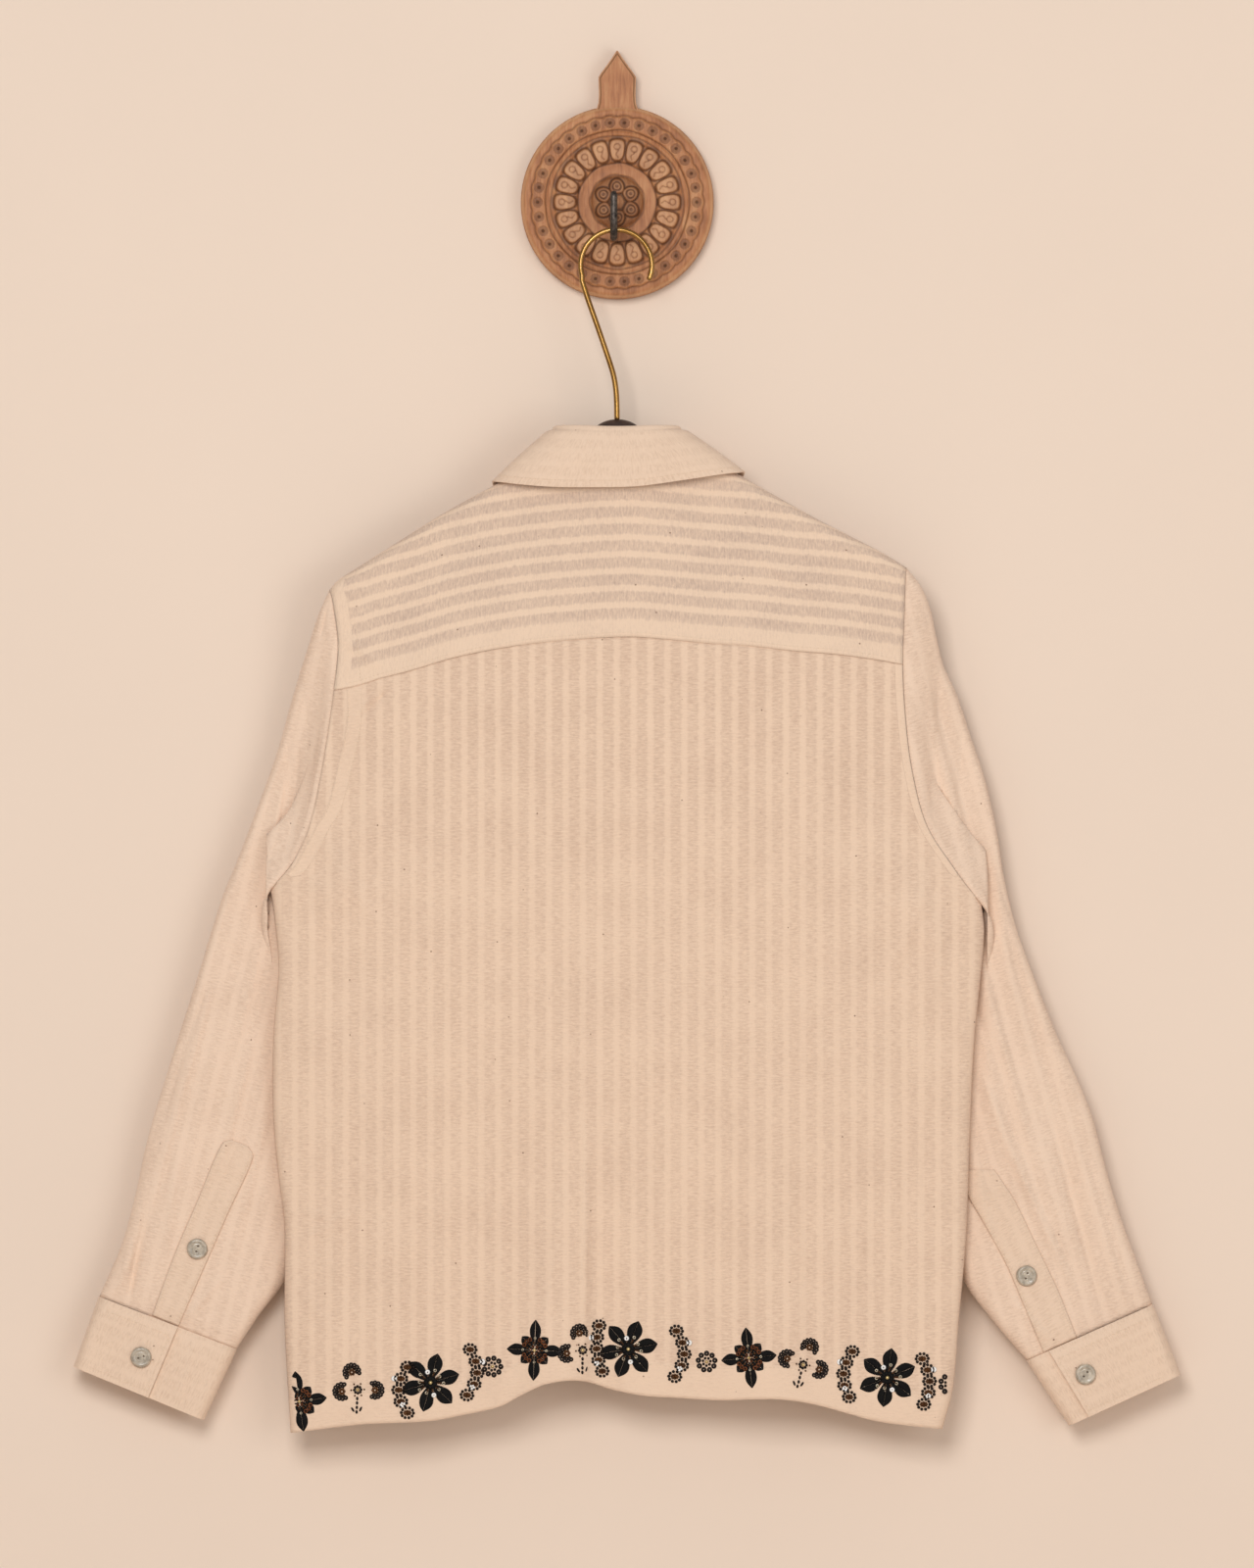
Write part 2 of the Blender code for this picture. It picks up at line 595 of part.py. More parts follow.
def sleeve_point(side, length_share, width_share, depth_share, face, out=0.0):
    """A point of a sleeve: along it, across it, how deep, and on which face (-1 towards the room)."""
    outer = tuple(read_line(SLEEVE_OUTER[side], length_share, column) for column in (1, 2))
    inner = tuple(read_line(SLEEVE_INNER[side], length_share, column) for column in (1, 2))
    across, height = mix(outer, inner, width_share)
    first, last = ARMHOLE[side][0], ARMHOLE[side][-1]
    station_z = mix(first[0], last[0], width_share)
    bow = read_line(ARMHOLE[side], station_z) - mix(first[1], last[1], width_share)
    across += bow * (1.0 - smoothstep(length_share / 0.4))
    across = clear_of_body(side, length_share, across, height)
    folds = sleeve_fold_height(length_share, width_share, SLEEVE_FOLDS[side]) if face < 0 else 0.0
    half = mix(SHOULDER_HALF_DEPTH, SLEEVE_HALF_DEPTH, smoothstep(length_share / 0.15))
    depth = (half + folds) * depth_share + out
    return across, read_line(SLEEVE_PLANES, length_share) + face * depth, height


def clear_of_body(side, length_share, across, height):
    """Keep a sleeve outside the body's edge until its plane has passed behind the body."""
    if length_share > SLEEVE_BEHIND_BODY:
        return across
    clearance = SLEEVE_CLEARANCE * smoothstep(length_share / 0.025)
    reach = ARMPIT_REACH * smoothstep(length_share / 0.12)
    edges = [body_edge(side, height - reach * step / 4) for step in range(-3, 5)]
    if side == LEFT:
        return min(across, min(edges) - clearance)
    return max(across, max(edges) + clearance)


def sleeve_ring(side, length_share):
    """One closed ring of a sleeve: down its room face from the outer edge, back up its wall face."""
    outer = [read_line(SLEEVE_OUTER[side], length_share, column) for column in (1, 2)]
    inner = [read_line(SLEEVE_INNER[side], length_share, column) for column in (1, 2)]
    width = math.dist(outer, inner)
    shares = sleeve_rings(side)
    ease = smoothstep(length_share / 0.15)
    half = mix(SHOULDER_HALF_DEPTH, SLEEVE_HALF_DEPTH, ease)
    cap = mix(shares[1], half / width, ease)
    flat = [(share - shares[1]) / (shares[-2] - shares[1]) for share in shares[1:-1]]
    stops = [mix(cap, 1.0 - cap, share) for share in flat]
    ring = [(0.0, 0.0, -1), (cap * 0.293, 0.707, -1)]
    ring += [(stop, 1.0, -1) for stop in stops]
    ring += [(1.0 - cap * 0.293, 0.707, -1), (1.0, 0.0, 1), (1.0 - cap * 0.293, 0.707, 1)]
    ring += [(stop, 1.0, 1) for stop in reversed(stops)]
    ring += [(cap * 0.293, 0.707, 1)]
    return [sleeve_point(side, length_share, *stop) for stop in ring]


def armhole_gap(side, height):
    """Gap between sleeve and body at the armhole, twice as wide where they meet the side seam."""
    top, armpit = ARMHOLE[side][0][0], ARMHOLE[side][-1][0]
    share = (top - height) / (top - armpit)
    return ARMHOLE_GAP * (1.0 + 1.3 * smoothstep((share - 0.85) / 0.13))


def sleeve_grid(side):
    """Rings of a sleeve from armhole to cuff seam, half a seam gap short at each end."""
    outward = -1.0 if side == LEFT else 1.0
    grid = []
    for length_share in SLEEVE_ROWS:
        ring = sleeve_ring(side, length_share)
        if length_share == 0.0:
            ring = [(x + outward * armhole_gap(side, z), y, z) for x, y, z in ring]
        if length_share == 1.0:
            ring = [(x, y, z + SEAM_GAP / 2) for x, y, z in ring]
        grid.append(ring)
    return grid


def cuff_point(side, length_share, width_share, depth, face):
    """A point of a cuff, length share 0 at its seam and 1 at its mouth."""
    outer_top = SLEEVE_OUTER[side][-1][1:]
    inner_top = SLEEVE_INNER[side][-1][1:]
    outer_mouth, inner_mouth = CUFF_MOUTH[side]
    outer = mix(outer_top, outer_mouth, length_share)
    inner = mix(inner_top, inner_mouth, length_share)
    across, height = mix(outer, inner, width_share)
    return across, SLEEVE_PLANE + face * depth, height


def cuff_path(side, width):
    """Path of the cuff's strip round the wrist: width share, depth and face, lapped end first."""
    lap = CUFF_WALL + SEAM_GAP
    deep = SLEEVE_HALF_DEPTH
    fold = CUFF_FOLD[side]
    cap = deep / width
    path = [(mix(fold, cap, step / 5), deep + lap, -1) for step in range(6)]
    path += [(cap * 0.293, (deep + lap) * 0.707, -1), (0.0, 0.0, 1), (cap * 0.293, deep * 0.707, 1)]
    path += [(mix(cap, 1.0 - cap, step / 7), deep, 1) for step in range(8)]
    path += [(1.0 - cap * 0.293, deep * 0.707, 1), (1.0, 0.0, 1), (1.0 - cap * 0.293, deep * 0.707, -1)]
    ends = max(fold - CUFF_LAP, cap)
    path += [(mix(1.0 - cap, ends, step / 4), deep, -1) for step in range(5)]
    return path


def cuff_grid(side):
    """Rows of a cuff from its seam to its mouth."""
    outer_top = SLEEVE_OUTER[side][-1][1:]
    inner_top = SLEEVE_INNER[side][-1][1:]
    width = math.dist(outer_top, inner_top)
    grid = []
    for length_share in (0.0, 0.33, 0.67, 1.0):
        row = []
        for width_share, depth, face in cuff_path(side, width):
            x, y, z = cuff_point(side, length_share, width_share, depth, face)
            row.append((x, y, z - 0.5 if length_share == 0.0 else z))
        grid.append(row)
    return grid


def on_sleeve(side, place, out):
    """A point on a sleeve's room face, below its elbow, over a place given across and in height."""
    low, high = 0.5, 1.0
    for _ in range(SEARCH_STEPS):
        length_share = (low + high) / 2
        outer = [read_line(SLEEVE_OUTER[side], length_share, column) for column in (1, 2)]
        inner = [read_line(SLEEVE_INNER[side], length_share, column) for column in (1, 2)]
        width_share = (place[0] - outer[0]) / (inner[0] - outer[0])
        if mix(outer[1], inner[1], width_share) > place[1]:
            low = length_share
        else:
            high = length_share
    return sleeve_point(side, length_share, width_share, 1.0, -1, out)


def placket_grid(side):
    """Rows of a sleeve placket, from its top to the cuff seam, lying on the sleeve."""
    out = CLOTH_WALL / 2 + PLACKET_GAP + PLACKET_WALL / 2
    table = PLACKET_ROWS[side]
    lines = [table[0]]
    for upper, lower in zip(table, table[1:]):
        lines += [mix(upper, lower, step / 3) for step in (1, 2, 3)]
    grid = []
    for fold_x, fold_z, stitch_x, stitch_z in lines:
        row = []
        for step in range(5):
            place = mix((fold_x, fold_z), (stitch_x, stitch_z), step / 4)
            row.append(on_sleeve(side, place, out))
        grid.append(row)
    return grid


def collar_leaf_grid():
    """Rows of the collar leaf, from its fold at the top to its lower edge."""
    grid = []
    for number in range(5):
        row = []
        for _, fold, edge in COLLAR_ROWS:
            across, depth, height = mix(fold, edge, number / 4)
            swell = 1.5 * math.sin(math.pi * number / 4)
            row.append((across * (1.0 + swell / 100.0), HANG_PLANE + depth + math.copysign(swell, depth), height))
        grid.append(row)
    return grid


def collar_stand_grid():
    """Rows of the collar stand, from its foot in the neckline to just inside the leaf's fold."""
    grid = []
    inside = COLLAR_WALL + YOKE_SEAM_GAP
    for number in range(4):
        share = number / 3
        row = []
        for foot, (_, fold, _) in zip(STAND_FOOT, COLLAR_ROWS):
            reach = math.hypot(fold[0], fold[1])
            shrink = (reach - inside) / reach
            top = (fold[0] * shrink, fold[1] * shrink, fold[2] - 1.0)
            across, depth, height = mix(foot, top, share)
            row.append((across, HANG_PLANE + depth, height))
        grid.append(row)
    return grid


def clear_scene():
    """Remove whatever the scene holds."""
    for thing in list(bpy.data.objects):
        bpy.data.objects.remove(thing, do_unlink=True)


def new_collection(name):
    """Add a collection to the scene."""
    collection = bpy.data.collections.new(name)
    bpy.context.scene.collection.children.link(collection)
    return collection


def new_material(name, colour, roughness, metallic=0.0):
    """A plain Principled material."""
    material = bpy.data.materials.new(name)
    material.use_nodes = True
    shader = material.node_tree.nodes["Principled BSDF"]
    shader.inputs["Base Color"].default_value = (*colour, 1.0)
    shader.inputs["Roughness"].default_value = roughness
    shader.inputs["Metallic"].default_value = metallic
    return material


def mesh_object(name, shape, collection, material):
    """Turn a bmesh into a named object."""
    mesh = bpy.data.meshes.new(name)
    shape.to_mesh(mesh)
    shape.free()
    thing = bpy.data.objects.new(name, mesh)
    thing.data.materials.append(material)
    collection.objects.link(thing)
    return thing


def cloth_piece(name, grid, wall, collection, material, closed=False):
    """A piece of cloth from a grid of points in millimetres, given its wall by Solidify."""
    shape = bmesh.new()
    rows = []
    for row in grid:
        rows.append([shape.verts.new([part * MM for part in point]) if point else None for point in row])
    for upper, lower in zip(rows, rows[1:]):
        count = len(upper)
        for left in range(count if closed else count - 1):
            right = (left + 1) % count
            corners = [upper[left], upper[right], lower[right], lower[left]]
            if None not in corners:
                shape.faces.new(corners)
    loose = [vertex for vertex in shape.verts if not vertex.link_faces]
    bmesh.ops.delete(shape, geom=loose, context="VERTS")
    for face in shape.faces:
        face.smooth = True
    thing = mesh_object(name, shape, collection, material)
    solid = thing.modifiers.new("wall", "SOLIDIFY")
    solid.thickness = wall * MM
    solid.offset = 0.0
    return thing


def wire_object(name, points, radius, resolution, collection, material):
    """A round bar along a line of points in millimetres."""
    curve = bpy.data.curves.new(name, "CURVE")
    curve.dimensions = "3D"
    curve.bevel_depth = radius * MM
    curve.bevel_resolution = resolution
    curve.use_fill_caps = True
    spline = curve.splines.new("POLY")
    spline.points.add(len(points) - 1)
    for target, point in zip(spline.points, points):
        target.co = (*[part * MM for part in point], 1.0)
    thing = bpy.data.objects.new(name, curve)
    thing.data.materials.append(material)
    collection.objects.link(thing)
    return thing


def smooth_line(points, steps):
    """A smooth curve through the points, with some steps between each two."""
    line = []
    last = len(points) - 1
    for number in range(last):
        before = points[max(number - 1, 0)]
        start, end = points[number], points[number + 1]
        after = points[min(number + 2, last)]
        for step in range(steps):
            t = step / steps
            line.append(tuple(
                0.5 * (2 * b + (c - a) * t + (2 * a - 5 * b + 4 * c - d) * t * t
                       + (3 * b - a - 3 * c + d) * t ** 3)
                for a, b, c, d in zip(before, start, end, after)
            ))
    line.append(points[-1])
    return line


def wire_line():
    """Centre line of the hanger's wire: the crook's arc, then the long shank."""
    points = []
    arc_steps = 26
    for number in range(arc_steps + 1):
        angle = math.radians(mix(WIRE_TIP_ANGLE, WIRE_HEEL_ANGLE, number / arc_steps))
        points.append((
            CROOK_CENTRE[0] + CROOK_RADIUS * math.cos(angle),
            HANG_PLANE,
            CROOK_CENTRE[1] + CROOK_RADIUS * math.sin(angle),
        ))
    shank = smooth_line([(x, HANG_PLANE, z) for x, z in WIRE_FOOT], 2)
    return points + shank


def hanger_shape():
    """The hanger's bar: rounded sections along it, closed at both tips."""
    shape = bmesh.new()
    sides = 10
    rings = []
    for across, top, foot, half in HANGER_SECTIONS:
        middle, rise = (top + foot) / 2, (top - foot) / 2
        ring = []
        for number in range(sides):
            angle = 2 * math.pi * (number + 0.5) / sides
            y = half * math.copysign(abs(math.cos(angle)) ** 0.6, math.cos(angle))
            z = rise * math.copysign(abs(math.sin(angle)) ** 0.9, math.sin(angle))
            ring.append(shape.verts.new((across * MM, (HANG_PLANE + y) * MM, (middle + z) * MM)))
        rings.append(ring)
    for first, second in zip(rings, rings[1:]):
        bmesh.ops.bridge_loops(shape, edges=ring_edges(shape, first) + ring_edges(shape, second))
    shape.faces.new(rings[0])
    shape.faces.new(rings[-1])
    bmesh.ops.recalc_face_normals(shape, faces=shape.faces)
    return shape


def ring_edges(shape, ring):
    """Edges of a closed ring of vertices, made where they are missing."""
    edges = []
    for first, second in zip(ring, ring[1:] + ring[:1]):
        found = shape.edges.get((first, second))
        edges.append(found or shape.edges.new((first, second)))
    return edges


def turned_object(name, profile, steps, collection, material):
    """A turned solid about the Y axis, its face towards the room; the profile is radius, depth."""
    shape = bmesh.new()
    verts = [shape.verts.new((radius * MM, -depth * MM, 0.0)) for radius, depth in profile]
    verts.append(shape.verts.new((0.0, -profile[-1][1] * MM, 0.0)))
    for first, second in zip(verts, verts[1:]):
        shape.edges.new((first, second))
    bmesh.ops.spin(
        shape, geom=shape.verts[:] + shape.edges[:], cent=(0, 0, 0), axis=(0, 1, 0),
        angle=2 * math.pi, steps=steps, use_merge=True,
    )
    bmesh.ops.remove_doubles(shape, verts=shape.verts, dist=0.00001)
    bmesh.ops.recalc_face_normals(shape, faces=shape.faces)
    for face in shape.faces:
        face.smooth = True
    return mesh_object(name, shape, collection, material)


def add_roundel(collection, guides, material):
    """The carved roundel with its pointed finial, one piece of wood."""
    roundel = turned_object("wall_roundel", ROUNDEL_PROFILE, 44, collection, material)
    outline = FINIAL_HALF + [(-x, z) for x, z in reversed(FINIAL_HALF)]
    curve = bpy.data.curves.new("finial_guide", "CURVE")
    curve.dimensions = "2D"
    curve.fill_mode = "BOTH"
    curve.extrude = FINIAL_THICKNESS / 2 * MM
    spline = curve.splines.new("POLY")
    spline.points.add(len(outline) - 1)
    spline.use_cyclic_u = True
    for target, (x, z) in zip(spline.points, outline):
        target.co = (x * MM, z * MM, 0.0, 1.0)
    flat = bpy.data.objects.new("finial_guide_curve", curve)
    guides.objects.link(flat)
    flat.rotation_euler = (math.pi / 2, 0.0, 0.0)
    flat.location = (0.0, -FINIAL_THICKNESS / 2 * MM, 0.0)
    bpy.context.view_layer.update()
    mesh = bpy.data.meshes.new_from_object(flat.evaluated_get(bpy.context.evaluated_depsgraph_get()))
    shape = bmesh.new()
    shape.from_mesh(mesh)
    bmesh.ops.remove_doubles(shape, verts=shape.verts, dist=0.00001)
    bmesh.ops.recalc_face_normals(shape, faces=shape.faces)
    finial = mesh_object("finial_guide_solid", shape, guides, material)
    finial.matrix_world = flat.matrix_world.copy()
    bpy.data.objects.remove(flat, do_unlink=True)
    finial.hide_render = True
    finial.display_type = "WIRE"
    union = roundel.modifiers.new("finial", "BOOLEAN")
    union.operation = "UNION"
    union.object = finial


def add_button(name, centre, radius, facing, collection, material):
    """A turned shell button with a raised rim, facing the room (-1) or the wall (1)."""
    half = BUTTON_THICKNESS / 2
    profile = [
        (0, half * 0.35), (radius * 0.55, half * 0.45), (radius * 0.72, half), (radius * 0.9, half * 0.9),
        (radius, 0.0), (radius * 0.86, -half),
    ]
    button = turned_object(name, profile, 16, collection, material)
    button.location = [part * MM for part in centre]
    if facing > 0:
        button.rotation_euler = (0.0, 0.0, math.pi)
    return button


def add_buttons(collection, material):
    """Buttons of the sleeve plackets, the cuffs and the front opening."""
    clear = BUTTON_THICKNESS / 2 + SEAM_GAP
    for side in (LEFT, RIGHT):
        out = CLOTH_WALL / 2 + PLACKET_GAP + PLACKET_WALL + clear
        centre = on_sleeve(side, PLACKET_BUTTON[side], out)
        add_button("button_placket_" + side, centre, BUTTON_RADIUS, -1, collection, material)
        deep = SLEEVE_HALF_DEPTH + CUFF_WALL + SEAM_GAP + CUFF_WALL / 2 + clear
        centre = cuff_point(side, *CUFF_BUTTON[side], deep, -1)
        add_button("button_cuff_" + side, centre, BUTTON_RADIUS, -1, collection, material)
    for number, height in enumerate(FRONT_BUTTON_HEIGHTS, start=1):
        depth = half_depth(0.0, height, FRONT_FOLDS) + CLOTH_WALL / 2 + clear
        centre = (0.0, HANG_PLANE + depth, height)
        add_button("button_front_%d" % number, centre, SMALL_BUTTON_RADIUS, 1, collection, material)


def build():
    """Make every piece of the shirt, its hanger and its wall hook."""
    clear_scene()
    parts = new_collection("khadi_shirt")
    guides = new_collection("guides")
    khadi = new_material("khadi_cotton", (0.80, 0.74, 0.64), 0.9)
    double_khadi = new_material("khadi_cotton_doubled", (0.83, 0.78, 0.69), 0.9)
    shell = new_material("button_shell", (0.80, 0.77, 0.70), 0.3)
    wood = new_material("carved_wood", (0.20, 0.10, 0.055), 0.6)
    dark_wood = new_material("hanger_wood", (0.05, 0.03, 0.022), 0.45)
    brass = new_material("brass_wire", (0.72, 0.50, 0.22), 0.3, 1.0)
    iron = new_material("forged_iron", (0.10, 0.095, 0.09), 0.6, 1.0)

    cloth_piece("back", back_grid(), CLOTH_WALL, parts, khadi)
    cloth_piece("yoke", yoke_grid(), CLOTH_WALL, parts, khadi)
    for side in (LEFT, RIGHT):
        cloth_piece("front_" + side, front_grid(side), CLOTH_WALL, parts, khadi)
        cloth_piece("sleeve_" + side, sleeve_grid(side), CLOTH_WALL, parts, khadi, closed=True)
        cloth_piece("cuff_" + side, cuff_grid(side), CUFF_WALL, parts, double_khadi)
        cloth_piece("sleeve_placket_" + side, placket_grid(side), PLACKET_WALL, parts, double_khadi)
    cloth_piece("collar_leaf", collar_leaf_grid(), COLLAR_WALL, parts, double_khadi)
    cloth_piece("collar_stand", collar_stand_grid(), COLLAR_WALL, parts, double_khadi)
    add_buttons(parts, shell)
    mesh_object("hanger_body", hanger_shape(), parts, dark_wood)
    wire_object("hanger_wire", wire_line(), WIRE_RADIUS, 2, parts, brass)
    hook_line = smooth_line([(IRON_ACROSS, y, z) for y, z in IRON_HOOK], 2)
    wire_object("wall_hook", hook_line, IRON_RADIUS, 2, parts, iron)
    add_roundel(parts, guides, wood)


build()
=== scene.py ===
# %% [markdown]
# # A khadi shirt on its hanger
# Khadi is cotton that is spun and woven by hand. This shirt shows its back: a curved yoke with
# the stripes turned sideways, a back panel with the stripes upright, long sleeves with buttoned
# plackets, and a hem border of beads. It hangs from a carved wooden roundel on a wall.
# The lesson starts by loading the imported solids. Each soft piece is then made again as thin
# cloth on the same shape, and each hard piece gets its finer form and its finish.

# %% Load the frame
import bisect
import json
import math

import bmesh
import bpy
from mathutils import Matrix, Vector, noise

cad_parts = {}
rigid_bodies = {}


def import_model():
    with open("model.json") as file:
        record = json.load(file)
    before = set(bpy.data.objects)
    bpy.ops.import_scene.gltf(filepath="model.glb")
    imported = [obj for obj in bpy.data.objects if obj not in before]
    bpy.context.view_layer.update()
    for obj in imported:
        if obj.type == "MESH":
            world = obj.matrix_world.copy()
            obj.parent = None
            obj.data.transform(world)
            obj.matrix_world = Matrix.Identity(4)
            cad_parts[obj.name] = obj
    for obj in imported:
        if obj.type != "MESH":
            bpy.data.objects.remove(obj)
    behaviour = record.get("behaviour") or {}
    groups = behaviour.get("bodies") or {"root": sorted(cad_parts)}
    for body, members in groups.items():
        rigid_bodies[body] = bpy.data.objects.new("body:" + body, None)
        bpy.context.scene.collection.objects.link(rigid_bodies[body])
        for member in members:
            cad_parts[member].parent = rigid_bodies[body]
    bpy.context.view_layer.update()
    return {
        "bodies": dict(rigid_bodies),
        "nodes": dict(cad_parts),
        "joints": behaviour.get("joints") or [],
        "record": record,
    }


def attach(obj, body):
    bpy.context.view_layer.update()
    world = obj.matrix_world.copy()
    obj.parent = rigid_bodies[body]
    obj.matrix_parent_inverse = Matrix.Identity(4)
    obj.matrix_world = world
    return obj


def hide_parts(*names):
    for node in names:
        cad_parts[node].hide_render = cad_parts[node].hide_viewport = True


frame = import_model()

MM = 0.001
LEFT, RIGHT = "left", "right"
print("solids:", len(frame["nodes"]))

# %% [markdown]
# ## Colours and nodes
# Colours are written as sRGB hex values, as one reads them off a screen, and one function turns
# them to the linear values that the shaders use. One more function adds a shader node with its
# settings and its links, so that each material below reads as a short recipe.

# %% Helpers for materials
def tint(code):
    """Linear colour from an sRGB hex value."""
    values = [int(code[start:start + 2], 16) / 255 for start in (1, 3, 5)]
    linear = [v / 12.92 if v <= 0.04045 else ((v + 0.055) / 1.055) ** 2.4 for v in values]
    return (*linear, 1.0)


def add(tree, kind, settings, stops=()):
    """Add one shader node and return its outputs.

    A setting that starts with a dot is the node's own. Every other one is a socket, which is given
    a value or is linked to another node's output. The stops are places and colours of a ramp.
    """
    node = tree.nodes.new("ShaderNode" + kind)
    for name, value in settings.items():
        if isinstance(name, str) and name.startswith("."):
            setattr(node, name[1:], value)
        elif isinstance(value, bpy.types.NodeSocket):
            tree.links.new(value, node.inputs[name])
        else:
            node.inputs[name].default_value = value
    if stops:
        marks = node.color_ramp.elements
        marks.remove(marks[1])
        marks[0].position, marks[0].color = stops[0][0], tint(stops[0][1])
        for place, code in stops[1:]:
            marks.new(place).color = tint(code)
    return node.outputs


def blank_material(name, values):
    """A Principled material, with plain values set on the shader's own sockets."""
    material = bpy.data.materials.new(name)
    material.use_nodes = True
    shader = material.node_tree.nodes["Principled BSDF"]
    for socket, value in values.items():
        shader.inputs[socket].default_value = value
    return material, material.node_tree, shader

# %% [markdown]
# ## Khadi cotton
# The cloth has self stripes: a dense band of about 4 mm, then a sheer band of about 9 mm. Less
# thread lies in the sheer band, and its darker colour is partly painted shade of the shadowed hollow
# behind the cloth, which shows through it. Hand-spun thread has slubs, which make short dark
# and light dashes across the sheer band, and tiny brown flecks of seed coat. Where cloth lies
# doubled, as at a seam, a hem or the yoke's edge, it is as dense as the dense stripe.
# The stripes follow the cloth and not the room, so they are worked out on two UV maps. One holds
# the place on the cut cloth in metres, and the other the distance to the nearest doubled edge.
# Each material is a short chain of masks: first the stripe, then the doubled edges, then slubs.

# %% Khadi material
STRIPE_PITCH = 0.01275
DENSE_SHARE = 0.34
SEAM_BAND = 0.0055
KHADI_FINISH = {"Roughness": 0.92, "Sheen Weight": 0.2, "Sheen Roughness": 0.5, "Specular IOR Level": 0.25}
SHARP_BLUR = 0.0008


def khadi_material(name, dense, sheer_with_shade, contrast, edge_band=0.002, pitch=STRIPE_PITCH, fade=0.0,
                   blur=SHARP_BLUR):
    """Striped hand-woven cotton: matt and slightly fuzzy, with slubs and flecks of seed coat, and painted
    shade in its sheer bands.
    """
    material, tree, shader = blank_material(name, KHADI_FINISH)
    soft = {".interpolation_type": "SMOOTHSTEP"}
    cut = add(tree, "UVMap", {".uv_map": "cut"})["UV"]
    edges = add(tree, "UVMap", {".uv_map": "edges"})["UV"]
    place = add(tree, "SeparateXYZ", {"Vector": cut})
    uneven = add(tree, "TexNoise", {"Vector": cut, "Scale": 240.0, "Detail": 2.0})["Fac"]
    wander = add(tree, "MapRange", {"Value": uneven, "To Min": -0.0016, "To Max": 0.0016})[0]
    across = add(tree, "Math", {".operation": "ADD", 0: place["X"], 1: wander})[0]
    turns = add(tree, "Math", {".operation": "DIVIDE", 0: across, 1: pitch})[0]
    turn = add(tree, "Math", {".operation": "FRACT", 0: turns})[0]
    middle = add(tree, "Math", {".operation": "SUBTRACT", 0: turn, 1: 0.5})[0]
    away = add(tree, "Math", {".operation": "ABSOLUTE", 0: middle})[0]
    stripe = add(tree, "MapRange", {
        **soft, "Value": away, "From Min": DENSE_SHARE / 2 + 0.11, "From Max": DENSE_SHARE / 2 - 0.08})[0]
    both = add(tree, "SeparateXYZ", {"Vector": edges})
    seam = add(tree, "MapRange", {
        **soft, "Value": both["X"],
        "From Min": SEAM_BAND + SHARP_BLUR, "From Max": SEAM_BAND - SHARP_BLUR})[0]
    edge = add(tree, "MapRange", {
        **soft, "Value": both["Y"], "From Min": edge_band + blur, "From Max": edge_band - blur})[0]
    doubled = add(tree, "Math", {".operation": "MAXIMUM", 0: seam, 1: edge})[0]
    cover = add(tree, "Math", {".operation": "MAXIMUM", 0: stripe, 1: doubled})[0]
    long_ways = add(tree, "Mapping", {"Vector": cut, "Scale": (0.25, 1.0, 1.0)})["Vector"]
    slubs = add(tree, "TexNoise", {
        "Vector": long_ways, "Scale": 760.0, "Detail": 3.0, "Roughness": 0.7})["Fac"]
    patchy = add(tree, "TexNoise", {"Vector": cut, "Scale": 24.0, "Detail": 4.0})["Fac"]
    # Painted shade of the shadowed hollow behind the cloth, seen through the sheer bands: full high on the
    # panel, and less by fade lower down
    hollow_shade = add(tree, "MapRange", {
        **soft, "Value": place["Y"], "From Min": 0.45, "From Max": 0.62, "To Min": 1.0 - fade})[0]
    thin = add(tree, "MapRange", {"Value": cover, "To Min": contrast, "To Max": 0.0})[0]
    faded = add(tree, "Math", {".operation": "MULTIPLY", 0: thin, 1: hollow_shade})[0]
    grip = add(tree, "MapRange", {"Value": cover, "To Min": 1.5, "To Max": 0.75})[0]
    grain = add(tree, "Math", {".operation": "SUBTRACT", 0: slubs, 1: 0.5})[0]
    dashes = add(tree, "Math", {".operation": "MULTIPLY_ADD", 0: grain, 1: grip, 2: faded})[0]
    broad = add(tree, "MapRange", {
        "Value": patchy, "From Min": 0.3, "From Max": 0.7, "To Min": -0.05, "To Max": 0.12})[0]
    shade = add(tree, "Math", {".operation": "ADD", 0: dashes, 1: broad})[0]
    # The sheer colour is partly painted shade of the hollow behind the cloth
    base = add(tree, "ValToRGB", {"Fac": shade}, [(0.0, dense), (1.0, sheer_with_shade)])["Color"]
    seeds = add(tree, "TexVoronoi", {"Vector": cut, "Scale": 100.0})
    chance = add(tree, "SeparateColor", {"Color": seeds["Color"]})["Red"]
    rare = add(tree, "MapRange", {"Value": chance, "From Min": 0.80, "From Max": 0.82})[0]
    small = add(tree, "MapRange", {"Value": seeds["Distance"], "From Min": 0.08, "From Max": 0.045})[0]
    fleck = add(tree, "Math", {".operation": "MULTIPLY", 0: rare, 1: small})[0]
    part = add(tree, "Math", {".operation": "MULTIPLY", 0: fleck, 1: 0.75})[0]
    colour = add(tree, "Mix", {".data_type": "RGBA", 0: part, 6: base, 7: tint("#6E4A36")})[2]
    tree.links.new(colour, shader.inputs["Base Color"])
    weave = add(tree, "TexNoise", {"Vector": cut, "Scale": 1500.0, "Detail": 2.0})["Fac"]
    rough = add(tree, "Math", {".operation": "MULTIPLY_ADD", 0: slubs, 1: 2.2, 2: weave})[0]
    height = add(tree, "Math", {".operation": "MULTIPLY_ADD", 0: doubled, 1: 2.0, 2: rough})[0]
    bump = add(tree, "Bump", {"Height": height, "Strength": 0.8, "Distance": 0.00025})["Normal"]
    tree.links.new(bump, shader.inputs["Normal"])
    return material


